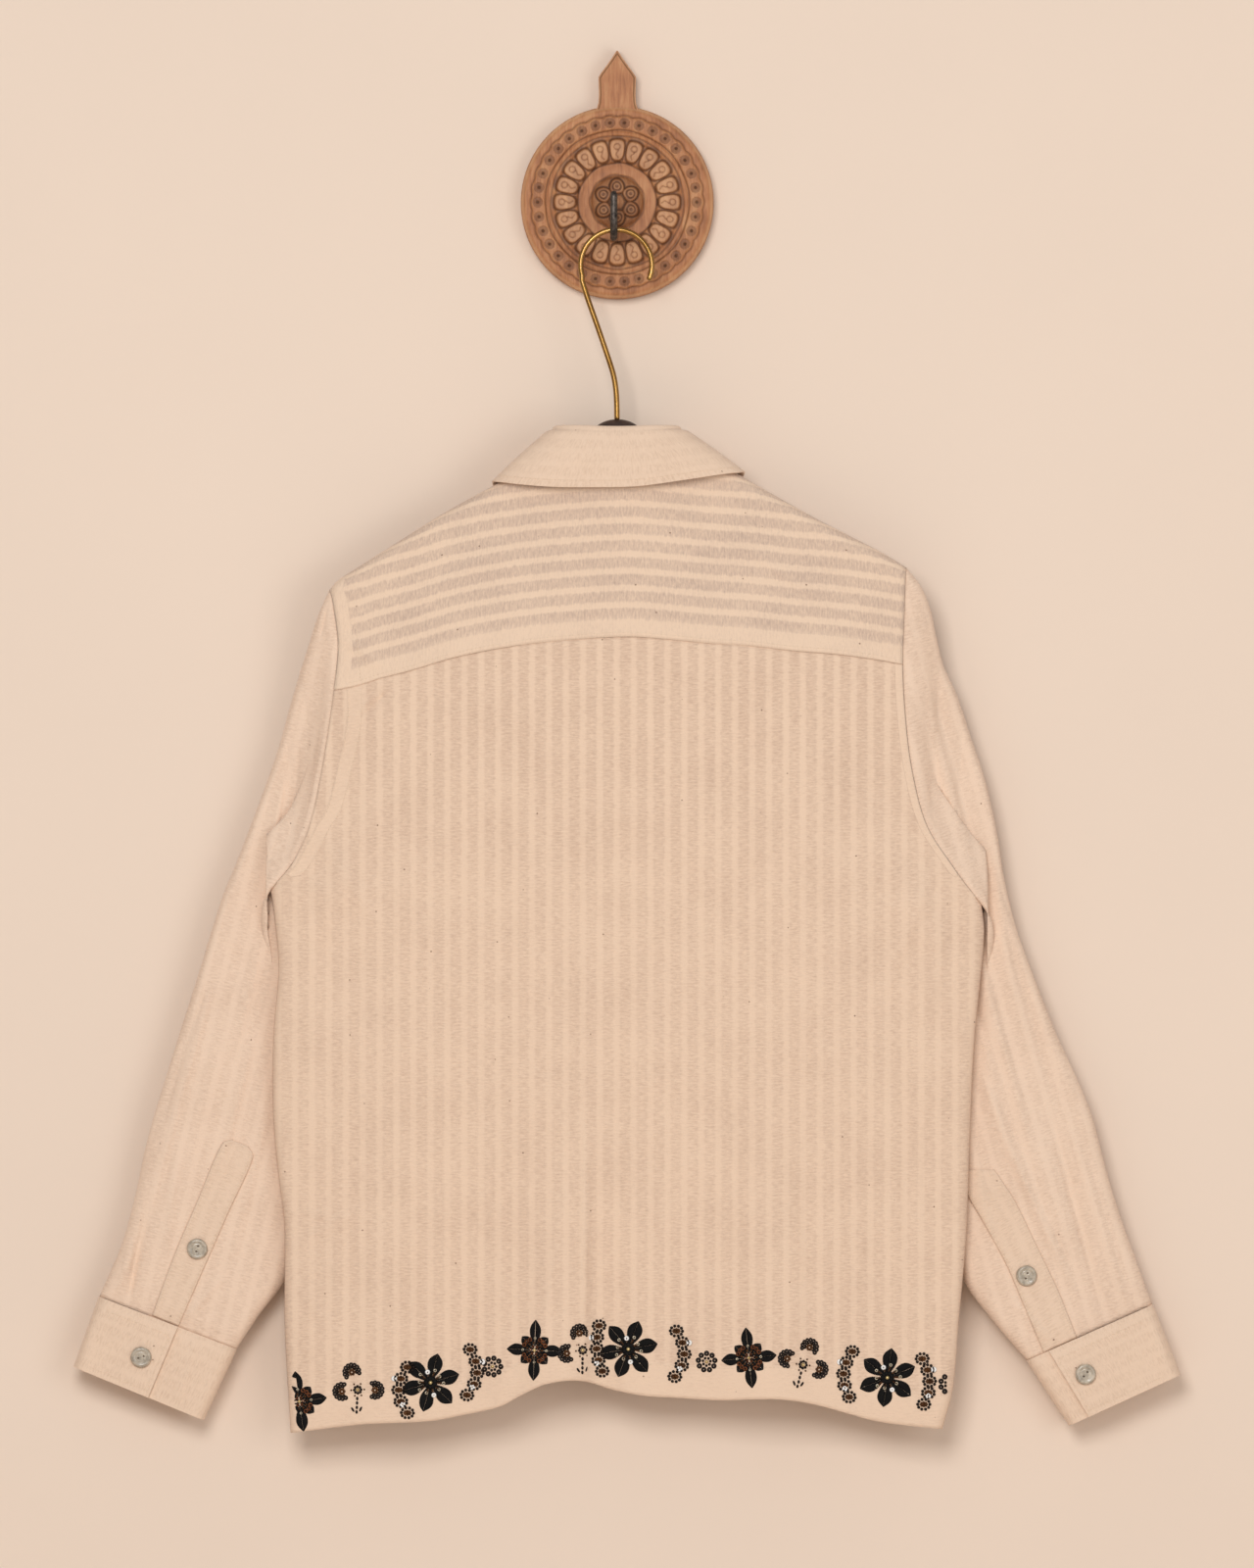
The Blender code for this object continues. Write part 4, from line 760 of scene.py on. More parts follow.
SLEEVE_INNER = {
    LEFT: [
        (0.0, -261.5, -518), (0.045, -268, -534), (0.12, -267, -560), (0.21, -259, -592),
        (0.35, -250, -641), (0.52, -248.5, -700), (0.69, -246.5, -760), (0.85, -250.5, -812),
        (0.93, -271, -841), (1.0, -288, -866.5),
    ],
    RIGHT: [
        (0.0, 274.5, -529), (0.045, 283, -545), (0.12, 283, -570), (0.21, 276, -600),
        (0.35, 263, -650), (0.52, 258, -706), (0.69, 256, -764), (0.85, 261.5, -813),
        (0.93, 283, -844), (1.0, 310, -875),
    ],
}
SLEEVE_PLANES = [(0.0, -45.0), (0.02, -43.5), (0.06, -37.5), (0.12, -30.0), (0.2, -25.0), (1.0, -25.0)]
SLEEVE_FOLDS = {
    LEFT: [
        {"foot": (0.98, 0.22), "head": (0.50, 0.30), "height": 3.0, "width": 0.10},
        {"foot": (0.80, 0.80), "head": (0.45, 0.70), "height": 2.5, "width": 0.12},
        {"foot": (0.40, 0.55), "head": (0.08, 0.35), "height": 2.5, "width": 0.12},
    ],
    RIGHT: [
        {"foot": (0.98, 0.30), "head": (0.62, 0.42), "height": 3.5, "width": 0.09},
        {"foot": (0.72, 0.62), "head": (0.38, 0.45), "height": 3.0, "width": 0.11},
        {"foot": (0.30, 0.50), "head": (0.03, 0.16), "height": 3.0, "width": 0.11},
    ],
}
# Small creases of the sleeves' room faces: start and end in mm, lift, half width
SLEEVE_CREASES = {
    LEFT: [
        ((-217, -296), (-224, -328), -1.8, 2.2), ((-311, -593), (-326, -636), -1.5, 2.4),
        ((-326, -636), (-343, -692), -1.5, 2.4), ((-363, -784), (-369, -829), -1.4, 2.4),
        ((-252, -440), (-262, -500), 1.4, 5.0), ((-300, -560), (-262, -600), -1.2, 8.0),
        ((-310, -610), (-352, -760), 1.8, 5.0), ((-322, -610), (-364, -745), -1.6, 5.0),
        ((-355, -760), (-371, -832), -2.0, 4.0), ((-366, -790), (-376, -822), 1.6, 4.0),
        ((-276, -640), (-300, -730), 1.4, 9.0), ((-262, -700), (-286, -800), -1.2, 8.0),
        ((-330, -700), (-340, -800), 1.0, 6.0), ((-300, -815), (-326, -845), 1.2, 5.0),
        ((-240, -420), (-246, -480), -1.0, 6.0), ((-268, -560), (-288, -640), 1.0, 9.0),
    ],
    RIGHT: [
        ((231, -303), (217.5, -321), -1.3, 1.8), ((236, -309), (220, -326), -1.2, 1.8),
        ((290, -522), (303, -557), -1.4, 2.6),
        ((277, -583), (312, -709), 1.8, 6.0), ((277, -664), (315, -748), 1.8, 6.0),
        ((292, -705), (345, -820), 2.2, 5.0), ((330, -705), (367, -843), -2.2, 5.0),
        ((344, -700), (384, -830), 1.6, 6.0), ((296, -560), (330, -680), -1.4, 7.0),
        ((264, -690), (286, -800), 1.2, 8.0), ((248, -420), (272, -520), 1.4, 7.0),
        ((232, -340), (252, -430), -1.2, 6.0), ((284, -500), (300, -600), 1.2, 7.0),
        ((300, -830), (326, -858), 1.2, 5.0), ((268, -600), (288, -660), -1.0, 7.0),
    ],
}
ARMPIT_REACH = 40.0
SLEEVE_CAP = 0.09
# The way that a sleeve's stripes run, down its length
SLEEVE_WAY = {LEFT: (-0.235, -0.972), RIGHT: (0.27, -0.963)}


def sleeve_fold_height(length_share, width_share, folds):
    """Height of a sleeve's folds, which fade out at both ends."""
    total = 0.0
    for fold in folds:
        foot_s, foot_w = fold["foot"]
        head_s, head_w = fold["head"]
        share = (length_share - head_s) / (foot_s - head_s)
        if 0.0 < share < 1.0:
            offset = (width_share - mix(head_w, foot_w, share)) / fold["width"]
            total += fold["height"] * math.sin(math.pi * share) * math.exp(-offset * offset)
    return total


def clear_of_body(side, length_share, across, height):
    """Tuck the sleeve under the body's edge, then keep it clear until it hangs behind the body."""
    if length_share > 0.2:
        return across
    off = ease(length_share / 0.025)
    clearance = mix(-2.0, 3.0, off)
    reach = ARMPIT_REACH * ease(length_share / 0.12)
    edges = [body_edge(side, height - reach * step / 4) for step in range(-3, 5)]
    if side == LEFT:
        return min(across, min(edges) - clearance)
    return max(across, max(edges) + clearance)


def sleeve_edges(side, length_share):
    """Points of a sleeve's outer and inner edge in mm."""
    return [tuple(read_curve(table[side], length_share, column) for column in (1, 2))
            for table in (SLEEVE_OUTER, SLEEVE_INNER)]


def sleeve_place(side, length_share, width_share, depth_share, face, out=0.0):
    """A point of a sleeve: along it, across it, how deep, and on which face (-1 faces the room)."""
    across, height = mix(*sleeve_edges(side, length_share), width_share)
    armhole_z, straight = mix(ARMHOLE[side][0], ARMHOLE[side][-1], width_share)
    across += (read_curve(ARMHOLE[side], armhole_z) - straight) * (1.0 - ease(length_share / 0.4))
    across = clear_of_body(side, length_share, across, height)
    half = mix(SHOULDER_HALF_DEPTH, SLEEVE_HALF_DEPTH, ease(length_share / 0.15))
    tuck = 1.0 - ease(length_share / 0.02)
    folds = 0.0
    if face < 0:
        folds = sleeve_fold_height(length_share, width_share, SLEEVE_FOLDS[side])
        folds += crease_height(across, height, SLEEVE_CREASES[side])
    into_cuff = ease((length_share - 0.975) / 0.025)
    folds = (folds + crumple(across, height, 12.0 + face)) * (1.0 - tuck) * (1.0 - into_cuff)
    depth = (half + folds - 0.9 * tuck - 1.7 * into_cuff) * depth_share + out
    return across, along_rows(SLEEVE_PLANES, length_share) + face * depth, height


def sleeve_round(side, length_share, turn):
    """Width share, depth share and face at a turn of the tube, 0 and 1 at its inner seam."""
    width = math.dist(*sleeve_edges(side, length_share))
    cap = mix(0.03, SLEEVE_HALF_DEPTH / width, ease(length_share / 0.15))
    face = -1 if turn < 0.5 else 1
    flat = 1.0 - 2.0 * turn if face < 0 else 2.0 * turn - 1.0
    edge = min(flat, 1.0 - flat)
    if edge < SLEEVE_CAP:
        angle = math.pi / 2 * edge / SLEEVE_CAP
        share = cap * (1.0 - math.cos(angle))
        return (share if flat < 0.5 else 1.0 - share), math.sin(angle), face
    return mix(cap, 1.0 - cap, (flat - SLEEVE_CAP) / (1.0 - 2.0 * SLEEVE_CAP)), 1.0, face


def sleeve_chart(side, u, v):
    """Cut of a sleeve: the stripes run down its length and turn over its outer fold."""
    width_share, _, face = sleeve_round(side, v, u)
    x, _, z = sleeve_place(side, v, width_share, 1.0, 1)
    fold_x, _, fold_z = sleeve_place(side, v, 0.0, 1.0, 1)
    axis_x, axis_z = SLEEVE_WAY[side]
    place = x * axis_z - z * axis_x
    unfolded = place if face < 0 else 2.0 * (fold_x * axis_z - fold_z * axis_x) - place
    return unfolded + 900.0, x * axis_x + z * axis_z + 2000.0, FAR, FAR


for side in (LEFT, RIGHT):
    sleeve = cloth("khadi_sleeve_" + side, 120, 190,
                   lambda u, v: sleeve_place(side, v, *sleeve_round(side, v, u)),
                   lambda u, v: sleeve_chart(side, u, v), CLOTH_THICKNESS, sleeve_khadi, weld=True)
    hang(sleeve, "khadi_cotton", "sleeve_" + side)
print("sleeves:", len(sleeve.data.polygons), "faces each")

# %% [markdown]
# ## Cuffs
# A cuff is a doubled strip wound once round the wrist, so that its buttoned end laps over the
# other. Its path is written as a few stops round the wrist and walked by length, and the strip is
# as deep as the cuff. A small bevel rounds its folded edges.

# %% Cuffs
CUFF_THICKNESS = 1.8
CUFF_LAP = 0.22
CUFF_LAYER = 2.6
CUFF_DEPTH = 56.0
CUFF_MOUTH = {LEFT: ((-410, -880), (-313, -920)), RIGHT: ((425, -886), (342, -924))}
CUFF_FOLD = {LEFT: 0.575, RIGHT: 0.83}
CUFF_CREASES = {
    LEFT: [((-392, -838), (-404, -872), 0.8, 7.0), ((-318, -862), (-330, -905), 0.8, 6.0)],
    RIGHT: [((404, -842), (416, -880), 0.8, 7.0), ((334, -878), (356, -912), 0.8, 6.0)],
}


def cuff_place(side, length_share, width_share, depth, face):
    """A point of a cuff in mm, length share 0 at its seam and 1 at its mouth."""
    outer_mouth, inner_mouth = CUFF_MOUTH[side]
    outer = mix(SLEEVE_OUTER[side][-1][1:], outer_mouth, length_share)
    inner = mix(SLEEVE_INNER[side][-1][1:], inner_mouth, length_share)
    across, height = mix(outer, inner, width_share)
    soft = 0.0
    if face < 0 and depth > 5.0:
        soft = crease_height(across, height, CUFF_CREASES[side]) + crumple(across, height, 20.0, 0.3)
    depth += soft - 1.3 * (1.0 - ease(length_share / 0.14))
    return across, SLEEVE_PLANE + face * max(depth, 0.0), height


def cuff_stops(side, width):
    """Stops of the strip round the wrist: width share and signed depth, the lapping end first."""
    deep, over = SLEEVE_HALF_DEPTH, SLEEVE_HALF_DEPTH + CUFF_LAYER
    cap = deep / width
    turns = [math.pi / 2 * step / 8 for step in range(9)]
    stops = [(CUFF_FOLD[side], -over), (cap, -over)]
    stops += [(cap * (1 - math.cos(t)), -over * math.sin(t)) for t in reversed(turns[:-1])]
    stops += [(cap * (1 - math.cos(t)), deep * math.sin(t)) for t in turns[1:]]
    stops += [(1 - cap * (1 - math.cos(t)), deep * math.sin(t)) for t in reversed(turns)]
    stops += [(1 - cap * (1 - math.cos(t)), -deep * math.sin(t)) for t in turns[1:]]
    return stops + [(max(CUFF_FOLD[side] - CUFF_LAP, cap), -deep)]


def walk(stops, scale):
    """Rows of walked share, place and depth along the stops, their first value scaled to mm."""
    lengths = [0.0]
    for (a, b), (c, d) in zip(stops, stops[1:]):
        lengths.append(lengths[-1] + math.hypot((c - a) * scale, d - b))
    return [(length / lengths[-1], *stop) for length, stop in zip(lengths, stops)], lengths[-1]


for side in (LEFT, RIGHT):
    width = math.dist(*sleeve_edges(side, 1.0))
    rows, round_wrist = walk(cuff_stops(side, width), width)

    def cuff_point(u, v):
        width_share, depth = along_rows(rows, u), along_rows(rows, u, 2)
        return cuff_place(side, v, width_share, abs(depth), -1 if depth < 0 else 1)

    cuff = cloth("khadi_cuff_" + side, 150, 22, cuff_point,
                 lambda u, v: (v * CUFF_DEPTH, u * round_wrist, FAR, FAR), CUFF_THICKNESS, doubled_khadi)
    fold_edges(cuff, 0.0006)
    hang(cuff, "doubled_khadi", "cuff_" + side)
print("cuff round the wrist in mm:", round(round_wrist))

# %% [markdown]
# ## Sleeve plackets
# The slit above each cuff is bound by a narrow strip with a pointed top. It lies on the sleeve, so
# each of its points is a point of the sleeve moved out by a little more than half the cloth.

# %% Plackets
PLACKET_THICKNESS = 1.2
PLACKET_OUT = 1.2
# Share of the length from the top, then the folded and the stitched edge in mm
PLACKET_ROWS = {
    LEFT: [
        (0.0, -279.0, -713.5, -290.0, -708.8), (0.07, -275.0, -721.5, -298.2, -711.5),
        (0.36, -293.0, -762.0, -316.0, -752.5), (0.68, -312.0, -805.0, -334.5, -796.0),
        (1.0, -331.2, -848.8, -351.0, -841.0),
    ],
    RIGHT: [
        (0.0, 263.0, -731.0, 284.5, -731.0), (0.08, 261.0, -742.5, 291.0, -740.0),
        (0.30, 276.0, -770.0, 301.5, -757.0), (0.56, 294.0, -803.0, 317.4, -789.9),
        (0.80, 308.5, -837.0, 332.5, -821.5), (1.0, 322.0, -868.8, 347.0, -857.6),
    ],
}


def on_sleeve(side, across, height, out):
    """A point on a sleeve's room face, below its elbow, over a place in mm."""
    low, high = 0.5, 1.0
    for _ in range(16):
        length_share = (low + high) / 2
        outer, inner = sleeve_edges(side, length_share)
        width_share = (across - outer[0]) / (inner[0] - outer[0])
        if mix(outer[1], inner[1], width_share) > height:
            low = length_share
        else:
            high = length_share
    return sleeve_place(side, length_share, width_share, 1.0, -1, out)


def placket_place(side, u, v, out=PLACKET_OUT):
    """A point of a placket: u from its folded edge to its stitched edge, v from its top to the cuff."""
    fold_x, fold_z, stitch_x, stitch_z = [
        read_curve(PLACKET_ROWS[side], v, column) for column in (1, 2, 3, 4)]
    rounded = 0.5 * (1.0 - ease(min(u, 1.0 - u) / 0.06))
    return on_sleeve(side, mix(fold_x, stitch_x, u), mix(fold_z, stitch_z, u), out - rounded)


for side in (LEFT, RIGHT):
    placket = cloth("khadi_placket_" + side, 18, 100, lambda u, v: placket_place(side, u, v),
                    lambda u, v: (u * 22.0, v * 160.0, FAR, FAR), PLACKET_THICKNESS, doubled_khadi)
    hang(placket, "doubled_khadi", "sleeve_placket_" + side)

# %% [markdown]
# ## Collar
# The collar is a stand that rises from the neckline and a leaf that rolls over it. Both follow one
# table round the neck: for each turn, the fold line and the leaf's lower edge. The leaf's first
# rows make a small half turn, so the fold is round and not a knife edge.

# %% Collar
COLLAR_THICKNESS = 1.4
FOLD_RADIUS = 2.2
# Degrees round the neck from its back, then the leaf's fold and its lower edge: across, deep, high
COLLAR_ROWS = [
    (-172, -6, 25.0, -226, -58, 21.5, -298), (-152, -22, 24.5, -214, -72, 20.5, -274),
    (-130, -38, 19.0, -196, -84, 17.5, -246), (-108, -46.5, 9.0, -179, -91.5, 11.5, -221),
    (-90, -48.5, 0.0, -171.5, -94.0, 0.0, -212.5), (-72, -46.5, -9.0, -170.2, -90.0, -11.5, -212.3),
    (-52, -38, -15.5, -170, -74, -18.0, -214.3), (-32, -25, -18.5, -170.2, -48, -21.0, -216.3),
    (-12, -10, -19.5, -170.8, -16, -22.5, -216.6), (12, 10, -19.5, -170.8, 16, -22.5, -215.8),
    (32, 25, -18.5, -170.2, 48, -21.0, -211.5), (52, 38, -15.5, -170, 74, -18.0, -207.5),
    (72, 46.0, -9.0, -170.2, 91.0, -11.5, -205.3), (90, 48.0, 0.0, -171.5, 96.0, 0.0, -205.5),
    (108, 46.0, 9.0, -178, 92.5, 11.5, -214), (130, 38, 19.0, -195, 85, 17.5, -241),
    (152, 22, 24.5, -213, 73, 20.5, -271), (172, 6, 25.0, -225, 60, 21.5, -296),
]
# The same, with the stand's foot in the neckline
STAND_FOOT = [
    (-172, -8, 14.0, -258), (-152, -30, 13.0, -252), (-130, -49, 10.5, -240), (-108, -63.5, 9.2, -212),
    (-90, -65.0, 0.0, -199.0), (-72, -60.0, -6.5, -200.5), (-52, -48, -10.0, -201.5),
    (-32, -30, -12.2, -202.5), (-12, -10, -13.2, -203), (12, 10, -13.2, -202.5), (32, 30, -12.2, -201),
    (52, 48, -10.0, -197.5), (72, 60.0, -6.5, -193.5), (90, 65.0, 0.0, -192.0),
    (108, 63.5, 9.2, -205), (130, 49, 10.5, -234), (152, 30, 13.0, -250), (172, 8, 14.0, -258),
]
ROLL_SHARE = 0.12
NECK_TURN = 172.0


def leaf_place(u, v, out=0.0):
    """A point of the collar leaf: u round the neck, v from its roll to its lower edge."""
    turn = mix(-NECK_TURN, NECK_TURN, u)
    fold = Vector([read_curve(COLLAR_ROWS, turn, column) for column in (1, 2, 3)])
    edge = Vector([read_curve(COLLAR_ROWS, turn, column) for column in (4, 5, 6)])
    outward = Vector((fold.x, fold.y, 0.0)).normalized()
    if v < ROLL_SHARE:
        angle = math.pi * (1.0 - v / ROLL_SHARE)
        roll = fold + outward * FOLD_RADIUS * (math.cos(angle) - 1.0)
        return roll.x, HANG_PLANE + roll.y, roll.z + FOLD_RADIUS * (math.sin(angle) - 1.1)
    share = (v - ROLL_SHARE) / (1 - ROLL_SHARE)
    point = fold.lerp(edge, share)
    swell = 1.5 * math.sin(math.pi * share) + out
    ripple = crumple(point.x, point.z, 31.0, 0.35) * ease(share * 3.0)
    point.x *= 1.0 + swell / 100.0
    drop = 1.1 * FOLD_RADIUS * (1.0 - ease(share * 8.0))
    return point.x, HANG_PLANE + point.y + math.copysign(swell + ripple, point.y), point.z - drop


def stand_place(u, v):
    """A point of the collar stand, from its foot in the neckline to just inside the roll."""
    turn = mix(-NECK_TURN, NECK_TURN, u)
    foot = Vector([read_curve(STAND_FOOT, turn, column) for column in (1, 2, 3)])
    fold = Vector([read_curve(COLLAR_ROWS, turn, column) for column in (1, 2, 3)])
    fold -= Vector((fold.x, fold.y, 0.0)).normalized() * (FOLD_RADIUS + 0.2) + Vector((0, 0, 1.6))
    point = foot.lerp(fold, v)
    return point.x, HANG_PLANE + point.y, point.z


def collar_chart(u, v):
    """Cut of the collar: the stripes run along its length."""
    return v * 52.0, u * 400.0, FAR, FAR


leaf = cloth("khadi_collar_leaf", 150, 50, leaf_place, collar_chart, COLLAR_THICKNESS, doubled_khadi)
fold_edges(leaf, 0.0005)
hang(leaf, "doubled_khadi", "collar_leaf")
stand = cloth("khadi_stand", 120, 20, stand_place, collar_chart, COLLAR_THICKNESS, doubled_khadi)
hang(stand, "doubled_khadi", "collar_stand")
print("collar:", len(leaf.data.polygons), "faces")

# %% [markdown]
# ## Wood, metal and shell
# The roundel is carved hardwood, oiled and worn: its grooves carry painted shade and its high
# edges a painted highlight. The hanger is stained nearly black. The hook is forged iron with a dry,
# dark skin, and the hanger's wire is lacquered brass. The buttons are cut from shell, with a soft
# cloudy sheen.

# %% Hard materials
def carved_wood_material():
    """Oiled hardwood with a brown grain, with painted shade in the cuts and a painted highlight on the high
    places.
    """
    finish = {"Roughness": 0.55, "Specular IOR Level": 0.4}
    material, tree, shader = blank_material("oiled_carved_wood", finish)
    place = add(tree, "TexCoord", {})["Object"]
    grain_way = add(tree, "Mapping", {"Vector": place, "Scale": (1.0, 1.0, 0.12)})["Vector"]
    grain = add(tree, "TexNoise", {
        "Vector": grain_way, "Scale": 420.0, "Detail": 5.0, "Distortion": 0.6})["Fac"]
    cloud = add(tree, "TexNoise", {"Vector": place, "Scale": 45.0, "Detail": 3.0})["Fac"]
    both = add(tree, "Math", {".operation": "MULTIPLY_ADD", 0: cloud, 1: 0.9, 2: grain})[0]
    tone = add(tree, "Math", {".operation": "MULTIPLY", 0: both, 1: 0.53})[0]
    browns = [(0.30, "#84502F"), (0.5, "#AE7248"), (0.72, "#CB9566")]
    wood = add(tree, "ValToRGB", {"Fac": tone}, browns)["Color"]
    # Painted shade darkens the cuts and a painted highlight lightens the high places, both marked on the
    # second map
    marks = add(tree, "UVMap", {".uv_map": "edges"})["UV"]
    split = add(tree, "SeparateXYZ", {"Vector": marks})
    cut_shade_mask = add(tree, "MapRange", {"Value": split["X"], "From Max": 0.001, "To Max": 0.85})[0]
    shaded_wood = add(tree, "Mix", {".data_type": "RGBA", 0: cut_shade_mask, 6: wood, 7: tint("#42230F")})[2]
    highlight_mask = add(tree, "MapRange", {"Value": split["Y"], "From Max": 0.001, "To Max": 0.6})[0]
    shaded_and_highlighted = add(tree, "Mix", {".data_type": "RGBA", 0: highlight_mask, 6: shaded_wood, 7: tint("#E3B88E")})[2]
    tree.links.new(shaded_and_highlighted, shader.inputs["Base Color"])
    bump = add(tree, "Bump", {"Height": grain, "Strength": 0.35, "Distance": 0.0004})["Normal"]
    tree.links.new(bump, shader.inputs["Normal"])
    return material


def worn_material(name, dark, light, scale, depth, values):
    """A plain finish with an uneven tone and surface, for metal, stained wood, thread or shell."""
    material, tree, shader = blank_material(name, values)
    place = add(tree, "TexCoord", {})["Object"]
    cloud = add(tree, "TexNoise", {"Vector": place, "Scale": scale, "Detail": 4.0, "Roughness": 0.6})["Fac"]
    tone = add(tree, "ValToRGB", {"Fac": cloud}, [(0.3, dark), (0.7, light)])["Color"]
    tree.links.new(tone, shader.inputs["Base Color"])
    bump = add(tree, "Bump", {"Height": cloud, "Strength": 0.4, "Distance": depth})["Normal"]
    tree.links.new(bump, shader.inputs["Normal"])
    return material


carved_wood = carved_wood_material()
stained_wood = worn_material("stained_hanger_wood", "#2A1C17", "#4A342A", 120.0, 0.0002, {"Roughness": 0.42})
lacquered_brass = worn_material("lacquered_brass", "#8C6632", "#A67E42", 60.0, 0.00001,
                                {"Metallic": 1.0, "Roughness": 0.3, "Coat Weight": 0.3})
forged_iron = worn_material("forged_iron", "#2A2522", "#6A6058", 330.0, 0.0006,
                            {"Metallic": 0.8, "Roughness": 0.42})
shell = worn_material("cut_shell", "#8F8474", "#CDBFAB", 260.0, 0.00006,
                      {"Roughness": 0.28, "Coat Weight": 0.5, "Coat Roughness": 0.15})
sewing_thread = worn_material("cotton_thread", "#D9BFA2", "#F0DCC4", 900.0, 0.0001, {"Roughness": 0.8})
print("finishes:", len(bpy.data.materials))

# %% [markdown]
# ## Carved roundel
# The roundel is turned and then carved, so it is a disc grid whose depth comes from one function:
# the turned profile, less the cuts. They are a ring of small sunken circles with a ring and a dot
# in each and a scalloped line round them, plain lines, squarish petals with a scroll, and a lobed
# flower at the middle. The same function says how deep each cut is, which the wood's finish darkens
# with painted shade, and how high each form stands, which it lightens with a painted highlight.

# %% Roundel
ROUNDEL_RADIUS = 73.0
ROUNDEL_PROFILE = [
    (0, 22), (12, 21.5), (18, 19), (20, 16.5), (29, 16.5), (31, 18.3), (38, 19.2), (46, 18.3),
    (48.5, 16.2), (53, 16.2), (54.5, 17.6), (63.5, 17.6), (65, 16.2), (70, 15.5), (73, 12.5),
]
CIRCLE_COUNT, CIRCLE_RING, CIRCLE_RADIUS = 34, 60.2, 3.6
PETAL_COUNT, PETAL_RING, PETAL_REACH = 20, 39.6, 8.4
LOBE_COUNT, LOBE_RING, LOBE_RADIUS = 6, 12.0, 6.2
PLAIN_LINES = [54.4, 50.3, 29.6, 20.6]
FACE_ROWS, RIM_ROWS, ROUNDEL_ROWS = 0.86, 0.9, 140


def groove(distance, width, depth):
    """A rounded groove: its depth at a distance from its line."""
    return depth * math.exp(-(distance / width) ** 2)


def along_ring(radius, angle, count):
    """Distance round the ring from the nearest of some evenly spaced forms."""
    step = 2 * math.pi / count
    return (angle / step - round(angle / step)) * step * radius


def carving(radius, angle):
    """Depth of the cuts and height of the raised forms at a place on the face, in mm."""
    cut = sum(groove(radius - line + 0.3 * math.sin(9 * angle + line), 0.55, 0.8) for line in PLAIN_LINES)
    raised = 0.0
    local = along_ring(radius, angle, CIRCLE_COUNT)
    if 54.6 < radius < 69.0:
        away = math.hypot(local, radius - CIRCLE_RING)
        scallop = radius - CIRCLE_RING - 5.8 + (local / 5.6) ** 2
        sunk = 0.5 * (1.0 - ease((away - CIRCLE_RADIUS) / 0.7))
        cut += groove(scallop, 0.5, 0.7) + groove(away, 0.8, 1.3) + sunk
        rings = groove(away - 1.9, 0.55, 0.5) + groove(away - 4.4, 0.5, 0.3)
        raised += groove(scallop + 1.0, 0.5, 0.35) + rings
    if 29.6 < radius < 50.3:
        local = along_ring(radius, angle, PETAL_COUNT)
        wide = abs(local) / (math.pi * radius / PETAL_COUNT * 0.9)
        oval = (wide ** 3 + abs((radius - PETAL_RING) / PETAL_REACH) ** 3) ** (1 / 3)
        raised += 1.2 * math.sqrt(max(1.0 - oval ** 4, 0.0)) + groove((oval - 0.86) * 6.0, 0.6, 0.4)
        cut += groove((oval - 1.06) * 6.0, 0.8, 0.9)
        cut += groove(math.hypot(local, radius - PETAL_RING - 2.4) - 2.3, 0.5, 0.5) * (oval < 0.8)
        cut += groove(local + 0.8 * math.sin(radius), 0.5, 0.5) * (radius < PETAL_RING) * (oval < 0.8)
    if radius < 20.6:
        near = math.hypot(along_ring(radius, angle + 0.5, LOBE_COUNT), radius - LOBE_RING)
        raised += 1.6 * math.sqrt(max(1.0 - (near / LOBE_RADIUS) ** 2, 0.0)) + groove(radius, 3.2, 1.5)
        cut += 0.35 + groove(near - LOBE_RADIUS, 0.8, 0.9)
        cut += groove(near - 3.2, 0.6, 0.7) + groove(near - 0.6, 0.8, 0.5)
    return cut, raised


def roundel_stop(v):
    """Radius of a row and the part of the disc that it is on: face, rim or back."""
    if v <= FACE_ROWS:
        return ROUNDEL_RADIUS * v / FACE_ROWS, "face"
    if v <= RIM_ROWS:
        return ROUNDEL_RADIUS, "rim"
    return ROUNDEL_RADIUS * (1.0 - v) / (1.0 - RIM_ROWS), "back"


def roundel_place(u, v):
    """A point of the roundel in mm; u goes round it, v from the middle of the face to the back's."""
    angle = 2 * math.pi * u
    radius, part = roundel_stop(v)
    depth = 0.0
    if part == "face":
        cut, raised = carving(radius, angle)
        depth = read_curve(ROUNDEL_PROFILE, radius) + raised - cut
    elif part == "rim":
        depth = ROUNDEL_PROFILE[-1][1] * (1.0 - (v - FACE_ROWS) / (RIM_ROWS - FACE_ROWS))
    return radius * math.cos(angle), -max(depth, 0.0), radius * math.sin(angle)


def roundel_chart(u, v):
    """The second map marks the cuts for painted shade, and the high places and the rim's edge for a painted
    highlight.
    """
    radius, part = roundel_stop(v)
    if part != "face":
        # The rim and the back get a little painted shade and painted highlight
        return 0.0, 0.0, 0.15, 0.1
    cut, raised = carving(radius, 2 * math.pi * u)
    # A painted highlight along the rim's outer edge
    edge = math.exp(-((radius - 71.5) / 1.2) ** 2)
    return radius, u * 100.0, cut, max(edge * 0.6 + raised * 0.4 - cut, 0.0)


roundel = shaped_grid("carved_roundel", 420, ROUNDEL_ROWS, roundel_place, roundel_chart, carved_wood,
                      weld=True)
hang(roundel, "carved_wood", "wall_roundel")
print("roundel:", len(roundel.data.polygons), "faces")

# %% [markdown]
# ## Finial
# The pointed finial on top is sawn from the same board: an outline made one face and extruded to
# its thickness. Its front is inset twice, first to bevel the edge and then to press in a fine line.

# %% Finial
FINIAL_HALF = [
    (0.5, 114.7), (4, 109.2), (8, 103.5), (12, 98.2), (14.2, 94.5), (14, 88), (13.8, 81), (14.2, 75),
    (17, 66),
]
FINIAL_THICKNESS = 14.0
